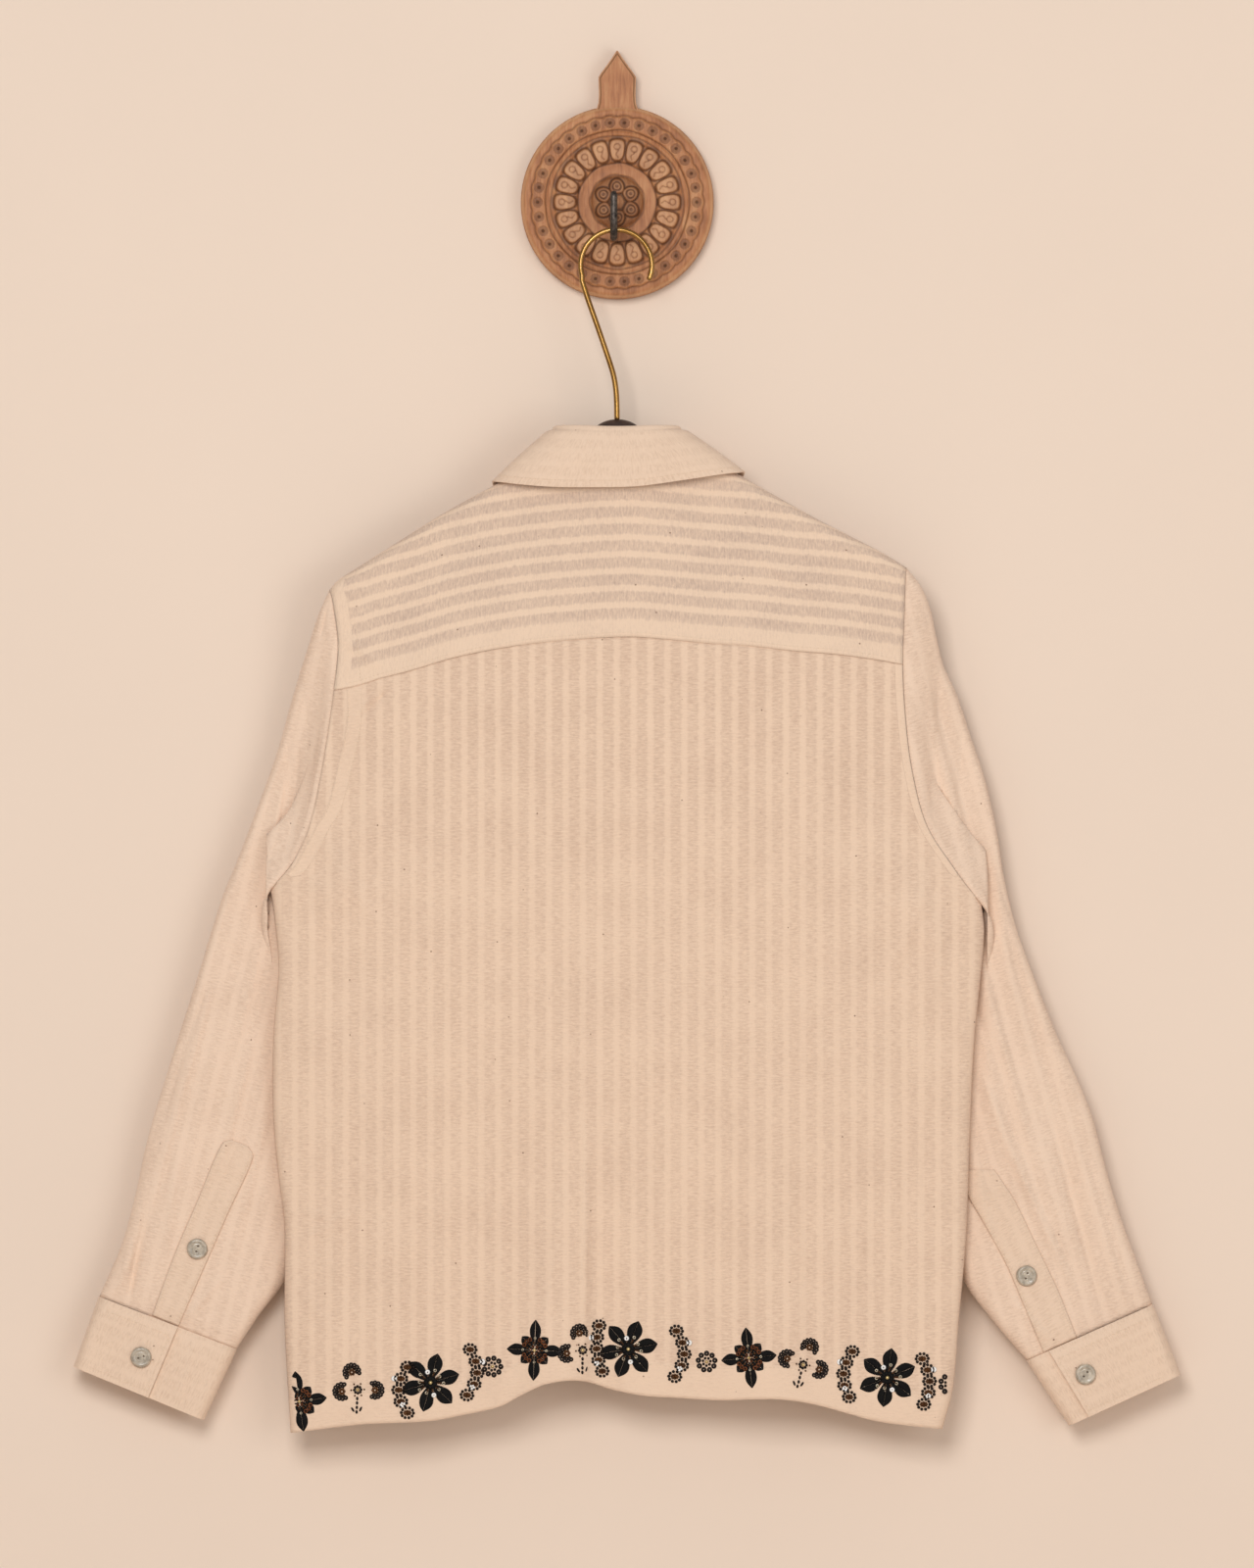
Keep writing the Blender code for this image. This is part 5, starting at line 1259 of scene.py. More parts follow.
# Insets of its face: how far in, how deep, and how much painted shade the cut gets
FINIAL_INSETS = [(0.0009, 0.0, 0.0001), (0.0005, -0.0005, 0.0008), (0.0006, 0.0005, 0.0006)]


def finial_piece():
    """The finial as one closed solid."""
    shape = bmesh.new()
    half = []
    for (x0, z0), (x1, z1) in zip(FINIAL_HALF, FINIAL_HALF[1:]):
        half += [(mix(x0, x1, step / 3), mix(z0, z1, step / 3)) for step in range(3)]
    half.append(FINIAL_HALF[-1])
    outline = half + [(-x, z) for x, z in reversed(half)]
    front = shape.faces.new([shape.verts.new((x * MM, 0.0, z * MM)) for x, z in outline])
    solid = bmesh.ops.extrude_face_region(shape, geom=[front])
    moved = [item for item in solid["geom"] if isinstance(item, bmesh.types.BMVert)]
    bmesh.ops.translate(shape, verts=moved, vec=(0.0, -FINIAL_THICKNESS * MM, 0.0))
    bmesh.ops.recalc_face_normals(shape, faces=shape.faces)
    face = min(shape.faces, key=lambda item: item.calc_center_median().y)
    edges = shape.loops.layers.uv.new("edges")
    for width, depth, cut_shade in FINIAL_INSETS:
        ring = bmesh.ops.inset_region(shape, faces=[face], thickness=width, depth=depth)["faces"]
        for item in ring:
            for loop in item.loops:
                # Each inset ring gets its painted shade, and a little painted highlight
                loop[edges].uv = (cut_shade, 0.0003)
    bmesh.ops.triangulate(shape, faces=[face])
    return finished("carved_finial", shape, carved_wood)


finial = hang(finial_piece(), "carved_wood", "wall_roundel")
print("finial:", len(finial.data.polygons), "faces")

# %% [markdown]
# ## Hook, wire and hanger
# The forged hook and the hanger's wire are round bars bent in a plane. A grid is wound round each
# bar's centre line, and its first and last rows close to a point. The hanger's bar is wound the
# same way round a table of sections, wide at the middle and thin at the tips.

# %% Bars
IRON_RADIUS = 3.25
WIRE_RADIUS = 2.1
CROOK_CENTRE, CROOK_RADIUS, CROOK_ENDS = (-0.7, -48.8), 26.9, (-26.0, 196.0)
WIRE_FOOT = [
    (-26.5, -60.5), (-22, -74.7), (-15, -94.5), (-8.4, -113.8), (-3.5, -129), (-1.3, -139.9),
    (-0.4, -151), (-0.1, -166.0),
]
IRON_HOOK = [
    (-22.5, -9), (-28, -10.5), (-34, -15.5), (-38, -22.5), (-45, -27.9), (-52.5, -24.5),
    (-56.5, -17), (-57.5, -8), (-57.0, 0), (-55.8, 7),
]
IRON_ACROSS = -2.5
# Place across, top, foot and half thickness
HANGER_SECTIONS = [
    (-206, -292.5, -306, 3.5), (-203, -287.5, -309, 5.2), (-190, -276.5, -303, 6.0),
    (-150, -251.5, -283, 6.0), (-110, -228, -264, 6.0), (-80, -215, -251, 6.0),
    (-60, -206, -243, 6.0), (-40, -193, -236, 6.0), (-24, -178, -230, 7.5),
    (-15, -169.5, -227, 9.5), (-8, -166, -226, 10.5), (0, -164.8, -225.5, 11.0),
    (8, -166, -226, 10.5), (15, -169.5, -227, 9.5), (24, -178, -230, 7.5),
    (40, -190, -234, 6.0), (60, -200, -240, 6.0), (80, -207.5, -246, 6.0),
    (110, -222.5, -258, 6.0), (150, -245, -277, 6.0), (190, -266, -294, 6.0),
    (208, -275.5, -299, 5.2), (211, -280, -296, 3.5),
]


def smooth_line(points, steps):
    """A smooth curve through the points, with some steps between each two."""
    line = []
    last = len(points) - 1
    for number in range(last):
        a, b, c, d = [Vector(points[min(max(number + offset, 0), last)]) for offset in (-1, 0, 1, 2)]
        for step in range(steps):
            t = step / steps
            line.append(0.5 * (2 * b + (c - a) * t + (2 * a - 5 * b + 4 * c - d) * t * t
                               + (3 * b - a - 3 * c + d) * t ** 3))
    line.append(Vector(points[-1]))
    return line


def bar(name, line, radius, plane, material, uneven=0.0):
    """A round bar along a line that lies in a plane, with rounded ends."""
    last = len(line) - 1

    def place(u, v):
        number = min(int(v * last), last - 1)
        point = line[number].lerp(line[number + 1], v * last - number)
        way = (line[min(number + 2, last)] - line[max(number - 1, 0)]).normalized()
        side = way.cross(plane)
        from_end = min(v, 1.0 - v) * last * (line[1] - line[0]).length / radius
        size = radius * math.sqrt(1.0 - max(1.0 - from_end, 0.0) ** 2)
        size *= 1.0 + uneven * noise.noise(point * 0.16)
        turn = 2 * math.pi * u
        return point + (plane * math.cos(turn) + side * math.sin(turn)) * size

    return shaped_grid(name, 20, last * 2, place, lambda u, v: (u, v, 0.0, 0.0), material, weld=True)


centre = Vector((CROOK_CENTRE[0], HANG_PLANE, CROOK_CENTRE[1]))
arc = [math.radians(mix(*CROOK_ENDS, step / 60)) for step in range(61)]
wire_line = [centre + Vector((math.cos(a), 0.0, math.sin(a))) * CROOK_RADIUS for a in arc]
wire_line += smooth_line([(x, HANG_PLANE, z) for x, z in WIRE_FOOT], 6)
wire = bar("hanger_crook", wire_line, WIRE_RADIUS, Vector((0, 1, 0)), lacquered_brass)
hang(wire, "brass_wire", "hanger_wire")
hook_line = smooth_line([(IRON_ACROSS, y, z) for y, z in IRON_HOOK], 7)
hook = bar("forged_hook", hook_line, IRON_RADIUS - 0.4, Vector((1, 0, 0)), forged_iron, uneven=0.12)
hang(hook, "forged_iron", "wall_hook")


def hanger_place(u, v):
    """A point of the hanger's bar in mm: u round its section, v along it."""
    across = mix(HANGER_SECTIONS[0][0], HANGER_SECTIONS[-1][0], v)
    top, foot, half = (read_curve(HANGER_SECTIONS, across, column) for column in (1, 2, 3))
    end = math.sqrt(ease(min(v, 1.0 - v) * 60.0))
    turn = 2 * math.pi * u
    y = half * end * math.copysign(abs(math.cos(turn)) ** 0.7, math.cos(turn))
    z = (top - foot) / 2 * end * math.sin(turn)
    return across, HANG_PLANE + y, (top + foot) / 2 + z


hanger = shaped_grid("shaped_hanger", 28, 160, hanger_place, lambda u, v: (u, v, 0.0, 0.0), stained_wood,
                     weld=True)
hang(hanger, "hanger_wood", "hanger_body")
print("bars:", len(wire.data.polygons), len(hook.data.polygons), len(hanger.data.polygons))

# %% [markdown]
# ## Buttons
# A two-hole shell button is a thin dish with a raised rim. A square grid is drawn to a disc, the
# faces inside the two holes are left out, and the points beside a hole are set on its edge, so
# that the wall given by the modifier makes real holes.

# %% Buttons
HOLE_RADIUS, HOLES = 1.0, (-2.0, 2.0)
SLEEVE_BUTTON_RADIUS, FRONT_BUTTON_RADIUS, BUTTON_THICKNESS = 7.2, 5.5, 1.5
PLACKET_BUTTON = {LEFT: (-317.0, -790.7), RIGHT: (309.0, -811.0)}
CUFF_BUTTON = {LEFT: (0.54, 0.42), RIGHT: (0.47, 0.68)}
FRONT_BUTTON_HEIGHTS = [-300, -390, -480, -570, -660, -750]


def disc_place(u, v, radius):
    """A point of a square grid drawn to a disc, moved to a hole's edge where it lies beside one."""
    a, b = 2 * u - 1, 2 * v - 1
    x, z = radius * a * math.sqrt(1 - b * b / 2), radius * b * math.sqrt(1 - a * a / 2)
    for hole in HOLES:
        away = math.hypot(x - hole, z)
        if abs(away - HOLE_RADIUS) < radius / 30:
            x, z = hole + (x - hole) * HOLE_RADIUS / away, z * HOLE_RADIUS / away
    return x, z


def button(name, centre, radius, facing, turn, node):
    """A button at a place in mm, facing the room (-1) or the wall (1), turned by some degrees."""
    cos, sin = math.cos(math.radians(turn)), math.sin(math.radians(turn))

    def place(u, v):
        x, z = disc_place(u, v, radius)
        away = math.hypot(x, z) / radius
        lift = 0.7 * math.exp(-((away - 0.84) / 0.13) ** 2) - 0.9 * ease((away - 0.9) / 0.1)
        lift += 0.12 * math.sin(away * 30.0) * (0.45 < away < 0.8)
        return centre[0] + x * cos - z * sin, centre[1] + facing * lift, centre[2] + x * sin + z * cos

    def solid_part(u, v):
        x, z = disc_place(u, v, radius)
        return all(math.hypot(x - hole, z) > HOLE_RADIUS * 0.97 for hole in HOLES)

    piece = cloth(name, 30, 30, place, lambda u, v: (u, v, 0.0, 0.0), BUTTON_THICKNESS, shell,
                  keep=solid_part)
    return hang(piece, "button_shell", node)


button_seats = []
for side in (LEFT, RIGHT):
    on_placket = on_sleeve(side, *PLACKET_BUTTON[side], 3.6)
    on_cuff = cuff_place(side, *CUFF_BUTTON[side], SLEEVE_HALF_DEPTH + CUFF_LAYER + 3.2, -1)
    button_seats.append(("button_placket_" + side, on_placket, SLEEVE_BUTTON_RADIUS, -1, 70.0))
    turn = 20.0 if side == LEFT else 50.0
    button_seats.append(("button_cuff_" + side, on_cuff, SLEEVE_BUTTON_RADIUS, -1, turn))
for number, height in enumerate(FRONT_BUTTON_HEIGHTS, start=1):
    centre = (0.0, HANG_PLANE + half_depth(0.0, height, FRONT_FOLDS) + 3.0, height)
    button_seats.append(("button_front_%d" % number, centre, FRONT_BUTTON_RADIUS, 1, 90.0))
for node, centre, radius, facing, turn in button_seats:
    button("shell_" + node, centre, radius, facing, turn, node)
print("buttons:", len(button_seats))

# %% [markdown]
# ## Sewing
# Small things that come by the hundred are one small form each, copied to many seats and joined
# into one mesh. A seat is a matrix: it lies on the cloth, turned along the stitch. The running
# stitches follow paths over the cloth: beside the yoke seam and the hem, on both edges of the
# armhole band, and round the collar, the cuffs and the plackets.

# %% Seats and stitches
def seat(surface, a, b, step, facing=-1, turn=0.0, size=(1.0, 1.0, 1.0)):
    """Matrix of a seat on a surface of two values, turned in the cloth's own plane."""
    here = Vector(surface(a, b))
    across = (Vector(surface(a + step, b)) - here).normalized()
    normal = across.cross(Vector(surface(a, b + step)) - here).normalized()
    if normal.y * facing < 0.0:
        normal = -normal
    frame = Matrix((across, normal.cross(across), normal)).transposed().to_4x4()
    turned = frame @ Matrix.Rotation(turn, 4, "Z")
    return Matrix.Translation(here * MM) @ turned @ Matrix.Diagonal((*size, 1.0))


def repeat(name, form, seats, material):
    """Copies of a small form at many seats, joined in one piece."""
    corners = [vertex.co.copy() * MM for vertex in form.verts]
    faces = [[vertex.index for vertex in face.verts] for face in form.faces]
    points, rings = [], []
    for matrix in seats:
        rings += [[len(points) + number for number in face] for face in faces]
        points += [matrix @ corner for corner in corners]
    mesh = bpy.data.meshes.new(name)
    mesh.from_pydata(points, [], rings)
    mesh.shade_smooth()
    mesh.materials.append(material)
    piece = bpy.data.objects.new(name, mesh)
    bpy.context.scene.collection.objects.link(piece)
    return hang(piece, "khadi_cotton")


def ball(segments, rings):
    """A ball of radius 1 mm with few faces."""
    shape = bmesh.new()
    bmesh.ops.create_uvsphere(shape, u_segments=segments, v_segments=rings, radius=1.0)
    shape.verts.index_update()
    return shape


STITCH_PITCH, STITCH_SIZE, PATH_STEPS = 3.2, (1.05, 0.24, 0.24), 400


def seam(surface, path, step, facing=-1):
    """Seats of running stitches on a path, which gives the surface's two values at each share."""
    spots = [path(number / PATH_STEPS) for number in range(PATH_STEPS + 1)]
    points = [Vector(surface(*spot)) for spot in spots]
    seats, walked = [], 0.0
    for number in range(PATH_STEPS):
        way = points[number + 1] - points[number]
        if walked // STITCH_PITCH != (walked + way.length) // STITCH_PITCH:
            local = seat(surface, *spots[number], step, facing).to_3x3().inverted() @ way
            turn = math.atan2(local.y, local.x)
            seats.append(seat(surface, *spots[number], step, facing, turn, STITCH_SIZE))
        walked += way.length
    return seats


def on_back(across, height, out=0.35):
    """The outer face of the back's cloth, or some way out from it."""
    return back_surface(across, height, 1.0, out)


def on_front(across, height, out=0.35):
    """The outer face of the fronts' cloth, on the wall side."""
    under = 0.0
    if across > FRONT_LAP:
        under = FRONT_LAP_DEPTH * ease((FRONT_LAP + LAP_SLOPE - across) / LAP_SLOPE)
    soft = crease_height(across, height, FRONT_CREASES) + crumple(across, height, 9.0)
    return across, HANG_PLANE + half_depth(across, height, FRONT_FOLDS) + soft - under + out + 0.1, height


def above(line, offset, start, end):
    """A path beside a line of the cut, at some distance from it."""
    return lambda t: (mix(start, end, t), read_curve(line, mix(start, end, t)) + offset)


def band_path(offset):
    """A path along an edge of the left armhole's band."""
    def place(t):
        height = mix(-370.0, -505.0, t)
        return body_edge(LEFT, height) + read_curve(BAND_INSET, height) + offset, height
    return place


def on_yoke(across, height):
    """The outer face of the yoke's cloth."""
    return yoke_surface(across, height, 0.35)


stitches = seam(on_yoke, above(YOKE_SEAM, 2.4, -204.0, 212.0), 1.0)
stitches += seam(on_yoke, lambda t: mix((-198.5, -300.0), (-193.5, -362.0), t), 1.0)
stitches += seam(on_back, above(HEM_LINE, 24.0, -240.0, 240.0), 1.0)
stitches += seam(on_front, above(HEM_LINE, 28.0, -240.0, 240.0), 1.0, 1)
for offset in (0.8, 10.4):
    stitches += seam(on_back, band_path(offset), 1.0)
stitches += seam(lambda u, v: leaf_place(u, v, 0.8), lambda t: (mix(0.235, 0.765, t), 0.90), 0.003)
for side in (LEFT, RIGHT):
    def on_cuff(u, v):
        return cuff_place(side, v, u, SLEEVE_HALF_DEPTH + CUFF_LAYER + 1.0, -1)

    def on_placket(u, v):
        return placket_place(side, u, v, PLACKET_OUT + 0.65)

    lap = CUFF_FOLD[side] - 0.03
    for start, end in [((0.1, 0.92), (lap, 0.92)), ((0.1, 0.14), (lap, 0.14)), ((lap, 0.14), (lap, 0.92))]:
        stitches += seam(on_cuff, lambda t: mix(start, end, t), 0.01)
    for start, end in [((0.07, 0.08), (0.07, 0.97)), ((0.93, 0.08), (0.93, 0.97)), ((0.1, 0.2), (0.9, 0.2))]:
        stitches += seam(on_placket, lambda t: mix(start, end, t), 0.02)
repeat("running_stitches", ball(6, 4), stitches, sewing_thread)
print("running stitches:", len(stitches))

# %% [markdown]
# ## Hem border
# Above the hem runs a border of ordinary motifs in satin stitch, glass beads and sequins: stars,
# sprigs, flowers, little rosettes, and curved rows of bead clusters between them. Each motif is a
# function that lists its bits as kind, place, turn and size in mm. Leaves and petals are stitches
# laid side by side, and nearly all the rest stands evenly round a ring. The photo shows the border
# run on round the side seams, so it is mirrored on the fronts.

# %% Motifs
def around(count, radius, start=0.0, tall=1.0):
    """Places evenly round a ring: across, up and the angle."""
    turns = [start + 2 * math.pi * number / count for number in range(count)]
    return [(radius * math.cos(turn), radius * tall * math.sin(turn), turn) for turn in turns]


MIDDLE = [(0.0, 0.0, 0.0)]


def dots(kind, places, size):
    """Round bits at some places."""
    return [(kind, x, z, turn, (size, size, size)) for x, z, turn in places]


def turned(x, z, turn):
    """A place turned about the motif's middle."""
    return x * math.cos(turn) - z * math.sin(turn), x * math.sin(turn) + z * math.cos(turn)


def satin_leaf(start, length, width, turn):
    """Slanted stitches side by side, which make a leaf with a toothed edge."""
    bits, count = [], round(length / 0.85)
    for number in range(count):
        share = (number + 0.5) / count
        half = 0.4 + width / 2 * math.sin(math.pi * share ** 0.85)
        reach = start + length * share
        for lean in (-1, 1):
            place = turned(reach + 0.3 * half, lean * half * 0.45, turn)
            bits.append(("satin", *place, turn + lean * 1.05, (half * 0.62, 0.62, 0.5)))
    return bits


def flower():
    """Six satin petals, with lines of small beads that end in rings."""
    bits = []
    for _, _, turn in around(6, 1.0):
        bits += satin_leaf(2.0, 20.0, 11.6, turn)
    bits += dots("satin", around(9, 3.2), 2.4)
    for number, (x, z, _) in enumerate(around(10, 1.0, 0.3)):
        last = 9.8 if number % 2 else 8.2
        bits += dots("bronze", [(r * x, r * z, 0.0) for r in (3.4, 4.8, 6.2, 7.6)], 0.75)
        bits += dots("silver" if number in (2, 7) else "pale_ring", [(last * x, last * z, 0.0)], 1.1)
    return bits + dots("bronze", around(7, 2.3), 0.9) + dots("gold", MIDDLE, 1.6)


CLUSTER_PITCH = 8.6


def crescent(bow):
    """A curved row of five oval clusters of beads; the bow says how far it bends, and which way."""
    bits = []
    for number in range(5):
        x0, z0 = bow * (1.0 - ((number - 2) / 2) ** 2), (2 - number) * CLUSTER_PITCH
        ring = around(10, 4.6, 0.3 * number, 0.84)
        bits += dots("dark", [(x0 + x, z0 + z, 0.0) for x, z, _ in ring], 1.28)
        bits += dots("bronze", [(x0 + x, z0 + z, 0.0) for x, z, _ in around(8, 2.3, 0.0, 0.62)], 0.95)
        bits += dots("bronze", [(x0 - 0.9, z0, 0.0), (x0 + 0.9, z0, 0.0)], 1.1)
    way = math.copysign(1.0, bow)
    return bits + dots("silver", [(bow + 3.4 * way, CLUSTER_PITCH, 0.0), (3.6 * way, -11.0, 0.0)], 1.3)


def rosette():
    """Nine rings round a gold bead."""
    return dots("ring", around(9, 6.3), 1.7) + dots("dark", around(7, 2.9), 1.15) + dots("gold", MIDDLE, 1.3)


def star(turn=0.0):
    """Four satin points round a lozenge of beads."""
    bits = []
    for number, (_, _, way) in enumerate(around(4, 1.0, turn)):
        bits += satin_leaf(3.0, 19.5 if number % 2 else 17.5, 9.0, way)
        side = way + math.pi / 4
        bits += satin_leaf(1.0, 12.5, 8.0, side)
        for step in (-1, 0, 1):
            bits += dots("copper_ring", [(*turned(8.8 - abs(step) * 0.6, step * 2.9, side), 0.0)], 1.4)
    bits += dots("bronze", around(11, 5.6, turn), 0.95) + dots("pale_ring", around(4, 9.0, turn), 0.9)
    return bits + dots("copper_ring", around(6, 3.0), 0.9) + dots("gold", MIDDLE, 1.3)


def sprig(*lobes):
    """Three fans of rings round brown middles, on a beaded stem."""
    bits = []
    for x0, z0 in lobes:
        way = math.atan2(z0, x0)
        fan = [way + mix(-2.0, 2.0, number / 9) for number in range(10)]
        bits += dots("ring", [(x0 + 5.6 * math.cos(a), z0 + 5.6 * math.sin(a), a) for a in fan], 1.45)
        bits += dots("dark", [(x0 + 3.5 * math.cos(a), z0 + 3.5 * math.sin(a), a) for a in fan], 0.95)
        bits += dots("bronze", [(x0 + x, z0 + z, 0.0) for x, z, _ in around(6, 1.7)], 1.2)
    bits += dots("dark", around(8, 2.6), 1.15) + dots("gold", MIDDLE, 1.4)
    bits += dots("bronze", around(6, 5.0), 0.75)
    for reach in (6.5, 9.8, 13.2, 16.6):
        bits.append(("dark", -0.12 * reach, -reach, math.pi / 2, (1.5, 1.05, 1.0)))
    for lean in (-1, 1):
        bits.append(("dark", lean * 3.0 - 1.8, -14.6, math.pi / 2 - lean * 0.5, (2.2, 0.9, 0.8)))
    return bits


# Motif, its middle across and in height, and its turn in degrees
BORDER = [
    (star(), -239.5, -905.0, 8),
    (sprig((-3.5, 13.5), (-12.0, -0.5), (13.0, -1.0)), -195.4, -896.0, 4),
    (crescent(-6.5), -158.0, -896.0, 0),
    (flower(), -140.6, -890.6, 16),
    (crescent(6.5), -112.0, -883.0, -4),
    (rosette(), -94.0, -878.6, 0),
    (star(0.1), -62.2, -866.0, -8),
    (sprig((-1.0, 13.0), (-12.0, -1.0)), -26.0, -866.0, 6),
    (crescent(-3.0), -12.5, -865.0, 4),
    (flower(), 8.4, -865.4, 10),
    (crescent(6.5), 44.0, -869.0, -2),
    (rosette(), 67.4, -875.0, 10),
    (star(), 99.2, -871.8, 6),
    (sprig((3.0, 13.5), (-12.5, 3.0), (12.5, -2.0)), 140.0, -877.0, -8),
    (crescent(-5.5), 176.0, -884.5, -4),
    (flower(), 203.6, -887.0, 22),
    (crescent(5.0), 230.4, -890.0, 2),
    (rosette(), 250.0, -892.0, 0),
]


def ring_form(radius, thick):
    """A ring in the cloth's plane, with few faces."""
    shape = bmesh.new()
    verts = [shape.verts.new((radius + thick * math.cos(a), 0.0, thick * math.sin(a)))
             for _, _, a in around(5, 1.0)]
    for first, second in zip(verts, verts[1:] + verts[:1]):
        shape.edges.new((first, second))
    bmesh.ops.spin(shape, geom=shape.verts[:] + shape.edges[:], cent=(0, 0, 0), axis=(0, 0, 1),
                   angle=2 * math.pi, steps=10, use_merge=True)
    bmesh.ops.remove_doubles(shape, verts=shape.verts, dist=0.001)
    bmesh.ops.recalc_face_normals(shape, faces=shape.faces)
    shape.verts.index_update()
    return shape


glass = {"Roughness": 0.32, "Specular IOR Level": 0.18}
satin = {"Roughness": 0.75, "Specular IOR Level": 0.2}
satin_thread = worn_material("black_satin_thread", "#040303", "#0F0D0C", 700.0, 0.0002, satin)
dark_glass = worn_material("dark_glass_beads", "#080504", "#22140D", 500.0, 0.0001, glass)
bronze_glass = worn_material("bronze_glass_beads", "#2C190E", "#684223", 500.0, 0.0001,
                             {**glass, "Metallic": 0.3})
copper_glass = worn_material("copper_glass_rings", "#3E2013", "#7C4A2C", 500.0, 0.0001,
                             {**glass, "Metallic": 0.4})
pale_metal = worn_material("pale_metal_rings", "#8E7F68", "#D9CDB6", 500.0, 0.0001,
                           {**glass, "Metallic": 0.7})
silver_sequin = worn_material("silver_sequins", "#E2DED6", "#FFFFFF", 300.0, 0.0001, {"Roughness": 0.3})
gold_bead = worn_material("gold_beads", "#B08E55", "#F0D9A0", 400.0, 0.0001, {**glass, "Metallic": 0.6})
# Form, material, and how far out from the middle of the cloth each kind of bit is seated, in mm
KINDS = {
    "satin": (ball(6, 4), satin_thread, 0.35), "dark": (ball(8, 5), dark_glass, 0.35),
    "bronze": (ball(7, 4), bronze_glass, 0.6), "ring": (ring_form(0.7, 0.58), dark_glass, 0.35),
    "copper_ring": (ring_form(0.9, 0.42), copper_glass, 0.8),
    "pale_ring": (ring_form(0.85, 0.4), pale_metal, 0.8),
    "silver": (ring_form(1.05, 0.75), silver_sequin, 0.9), "gold": (ball(8, 5), gold_bead, 0.8),
}
RING_FLATNESS = 0.6
BORDER_MARGIN = 5.0
seats = {kind: [] for kind in KINDS}
for bits, middle_x, middle_z, degrees in BORDER:
    lean = math.radians(degrees)
    for kind, x, z, turn, size in bits:
        step_x, step_z = turned(x, z, lean)
        across, height = middle_x + step_x, middle_z + step_z
        flat = size if kind in ("satin", "dark", "bronze", "gold") else (*size[:2], size[2] * RING_FLATNESS)
        if not body_edge(LEFT, height) + BORDER_MARGIN < across < body_edge(RIGHT, height) - BORDER_MARGIN:
            continue
        for panel, facing in ((on_back, -1), (on_front, 1)):
            def cloth_face(a, b):
                return panel(a, b, KINDS[kind][2])

            seats[kind].append(seat(cloth_face, across, height, 1.0, facing, turn + lean, flat))
for kind, (form, material, _) in KINDS.items():
    repeat("border_" + kind, form, seats[kind], material)
print("border bits:", {kind: len(found) for kind, found in seats.items()})

# %% [markdown]
# ## Camera, light and wall
# The photo was taken straight on and shows no perspective: the roundel, behind the shirt, is not
# shifted against it. So the camera looks square at the wall from ten metres, through a long lens
# that frames as much as the photo does. The light is soft and flat, a little from the upper left.
# The wall is plaster painted a pale peach; it is part of the stage and not of the object, and it is
# seen through from behind, so that the object's hidden side can be looked at.

# %% Stage
CAMERA_DISTANCE = 10.0
FRAME_HEIGHT = 1.1822
FRAME_MIDDLE = (0.0074, -0.4399)
FILM = 36.0


def plaster(name, code, see_through):
    """Painted plaster: matt, with a faint broad unevenness."""
    material, tree, shader = blank_material(name, {"Roughness": 0.9, "Specular IOR Level": 0.2})
    place = add(tree, "TexCoord", {})["Object"]
    broad = add(tree, "TexNoise", {"Vector": place, "Scale": 3.0, "Detail": 4.0})["Fac"]
    tone = add(tree, "MapRange", {"Value": broad, "To Min": 0.97, "To Max": 1.03})[0]
    paint = add(tree, "HueSaturation", {"Value": tone, "Color": tint(code)})["Color"]
    tree.links.new(paint, shader.inputs["Base Color"])
    if see_through:
        behind = add(tree, "NewGeometry", {})["Backfacing"]
        clear = add(tree, "BsdfTransparent", {})["BSDF"]
        shown = add(tree, "MixShader", {0: behind, 1: shader.outputs["BSDF"], 2: clear})["Shader"]
        tree.links.new(shown, tree.nodes["Material Output"].inputs["Surface"])
    return material


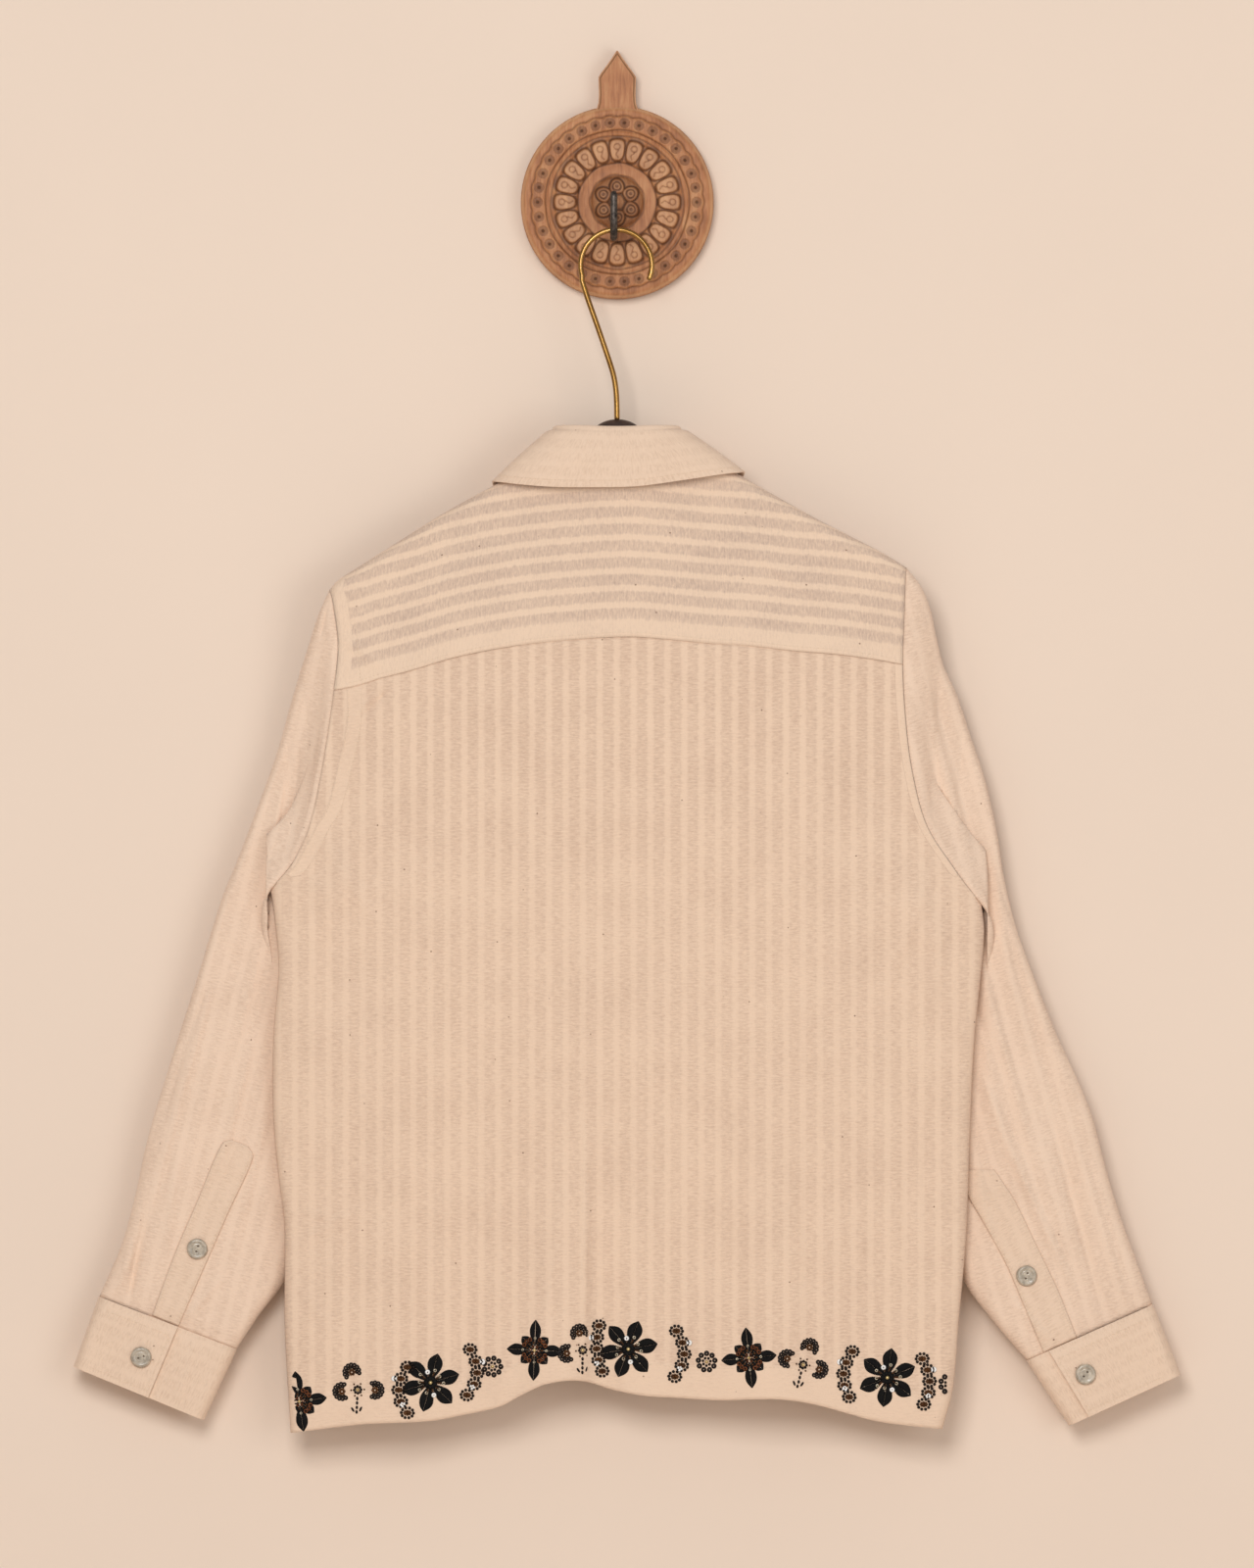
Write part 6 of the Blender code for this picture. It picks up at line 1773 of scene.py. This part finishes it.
def flat_stage(name, size, turn, place, material):
    """A large flat sheet that is not part of the object."""
    shape = bmesh.new()
    bmesh.ops.create_grid(shape, x_segments=1, y_segments=1, size=size)
    laid = Matrix.Translation(place) @ Matrix.Rotation(turn, 4, "X")
    bmesh.ops.transform(shape, matrix=laid, verts=shape.verts)
    sheet = finished(name, shape, material)
    return sheet


wall_paint = plaster("painted_plaster", "#ECD8C6", True)
wall = flat_stage("wall_plaster", 5.0, math.pi / 2, (0.0, 0.001, 0.0), wall_paint)
wall.visible_shadow = False
flat_stage("floor_plain", 5.0, 0.0, (0.0, 0.0, -1.75), plaster("pale_floor", "#E9DED4", False))


def soft_light(name, place, target, size, power, code):
    """A square soft light aimed at a point."""
    lamp = bpy.data.lights.new(name, "AREA")
    lamp.size = size
    lamp.energy = power
    lamp.color = tint(code)[:3]
    holder = bpy.data.objects.new(name, lamp)
    holder.location = place
    holder.rotation_euler = (Vector(target) - Vector(place)).to_track_quat("-Z", "Y").to_euler()
    bpy.context.scene.collection.objects.link(holder)


WHITE = "#FFFFFF"
soft_light("window", (-0.55, -3.6, 0.6), (0.0, 0.0, -0.45), 1.3, 65.0, WHITE)
soft_light("room", (1.7, -2.9, -0.5), (0.0, 0.0, -0.5), 1.6, 17.0, WHITE)
world = bpy.data.worlds.new("soft_room")
world.use_nodes = True
sky = world.node_tree.nodes["Background"].inputs
sky["Color"].default_value = tint(WHITE)
sky["Strength"].default_value = 0.36
bpy.context.scene.world = world
bpy.context.scene.view_settings.view_transform = "Standard"

camera = bpy.data.cameras.new("photo_camera")
camera.sensor_fit = "VERTICAL"
camera.sensor_height = FILM
camera.lens = FILM * (CAMERA_DISTANCE + HANG_PLANE * MM) / FRAME_HEIGHT
camera_object = bpy.data.objects.new("photo_camera", camera)
camera_object.location = (FRAME_MIDDLE[0], -CAMERA_DISTANCE, FRAME_MIDDLE[1])
camera_object.rotation_euler = (math.pi / 2, 0.0, 0.0)
bpy.context.scene.collection.objects.link(camera_object)
bpy.context.scene.camera = camera_object
print("lens in mm:", round(camera.lens, 1))
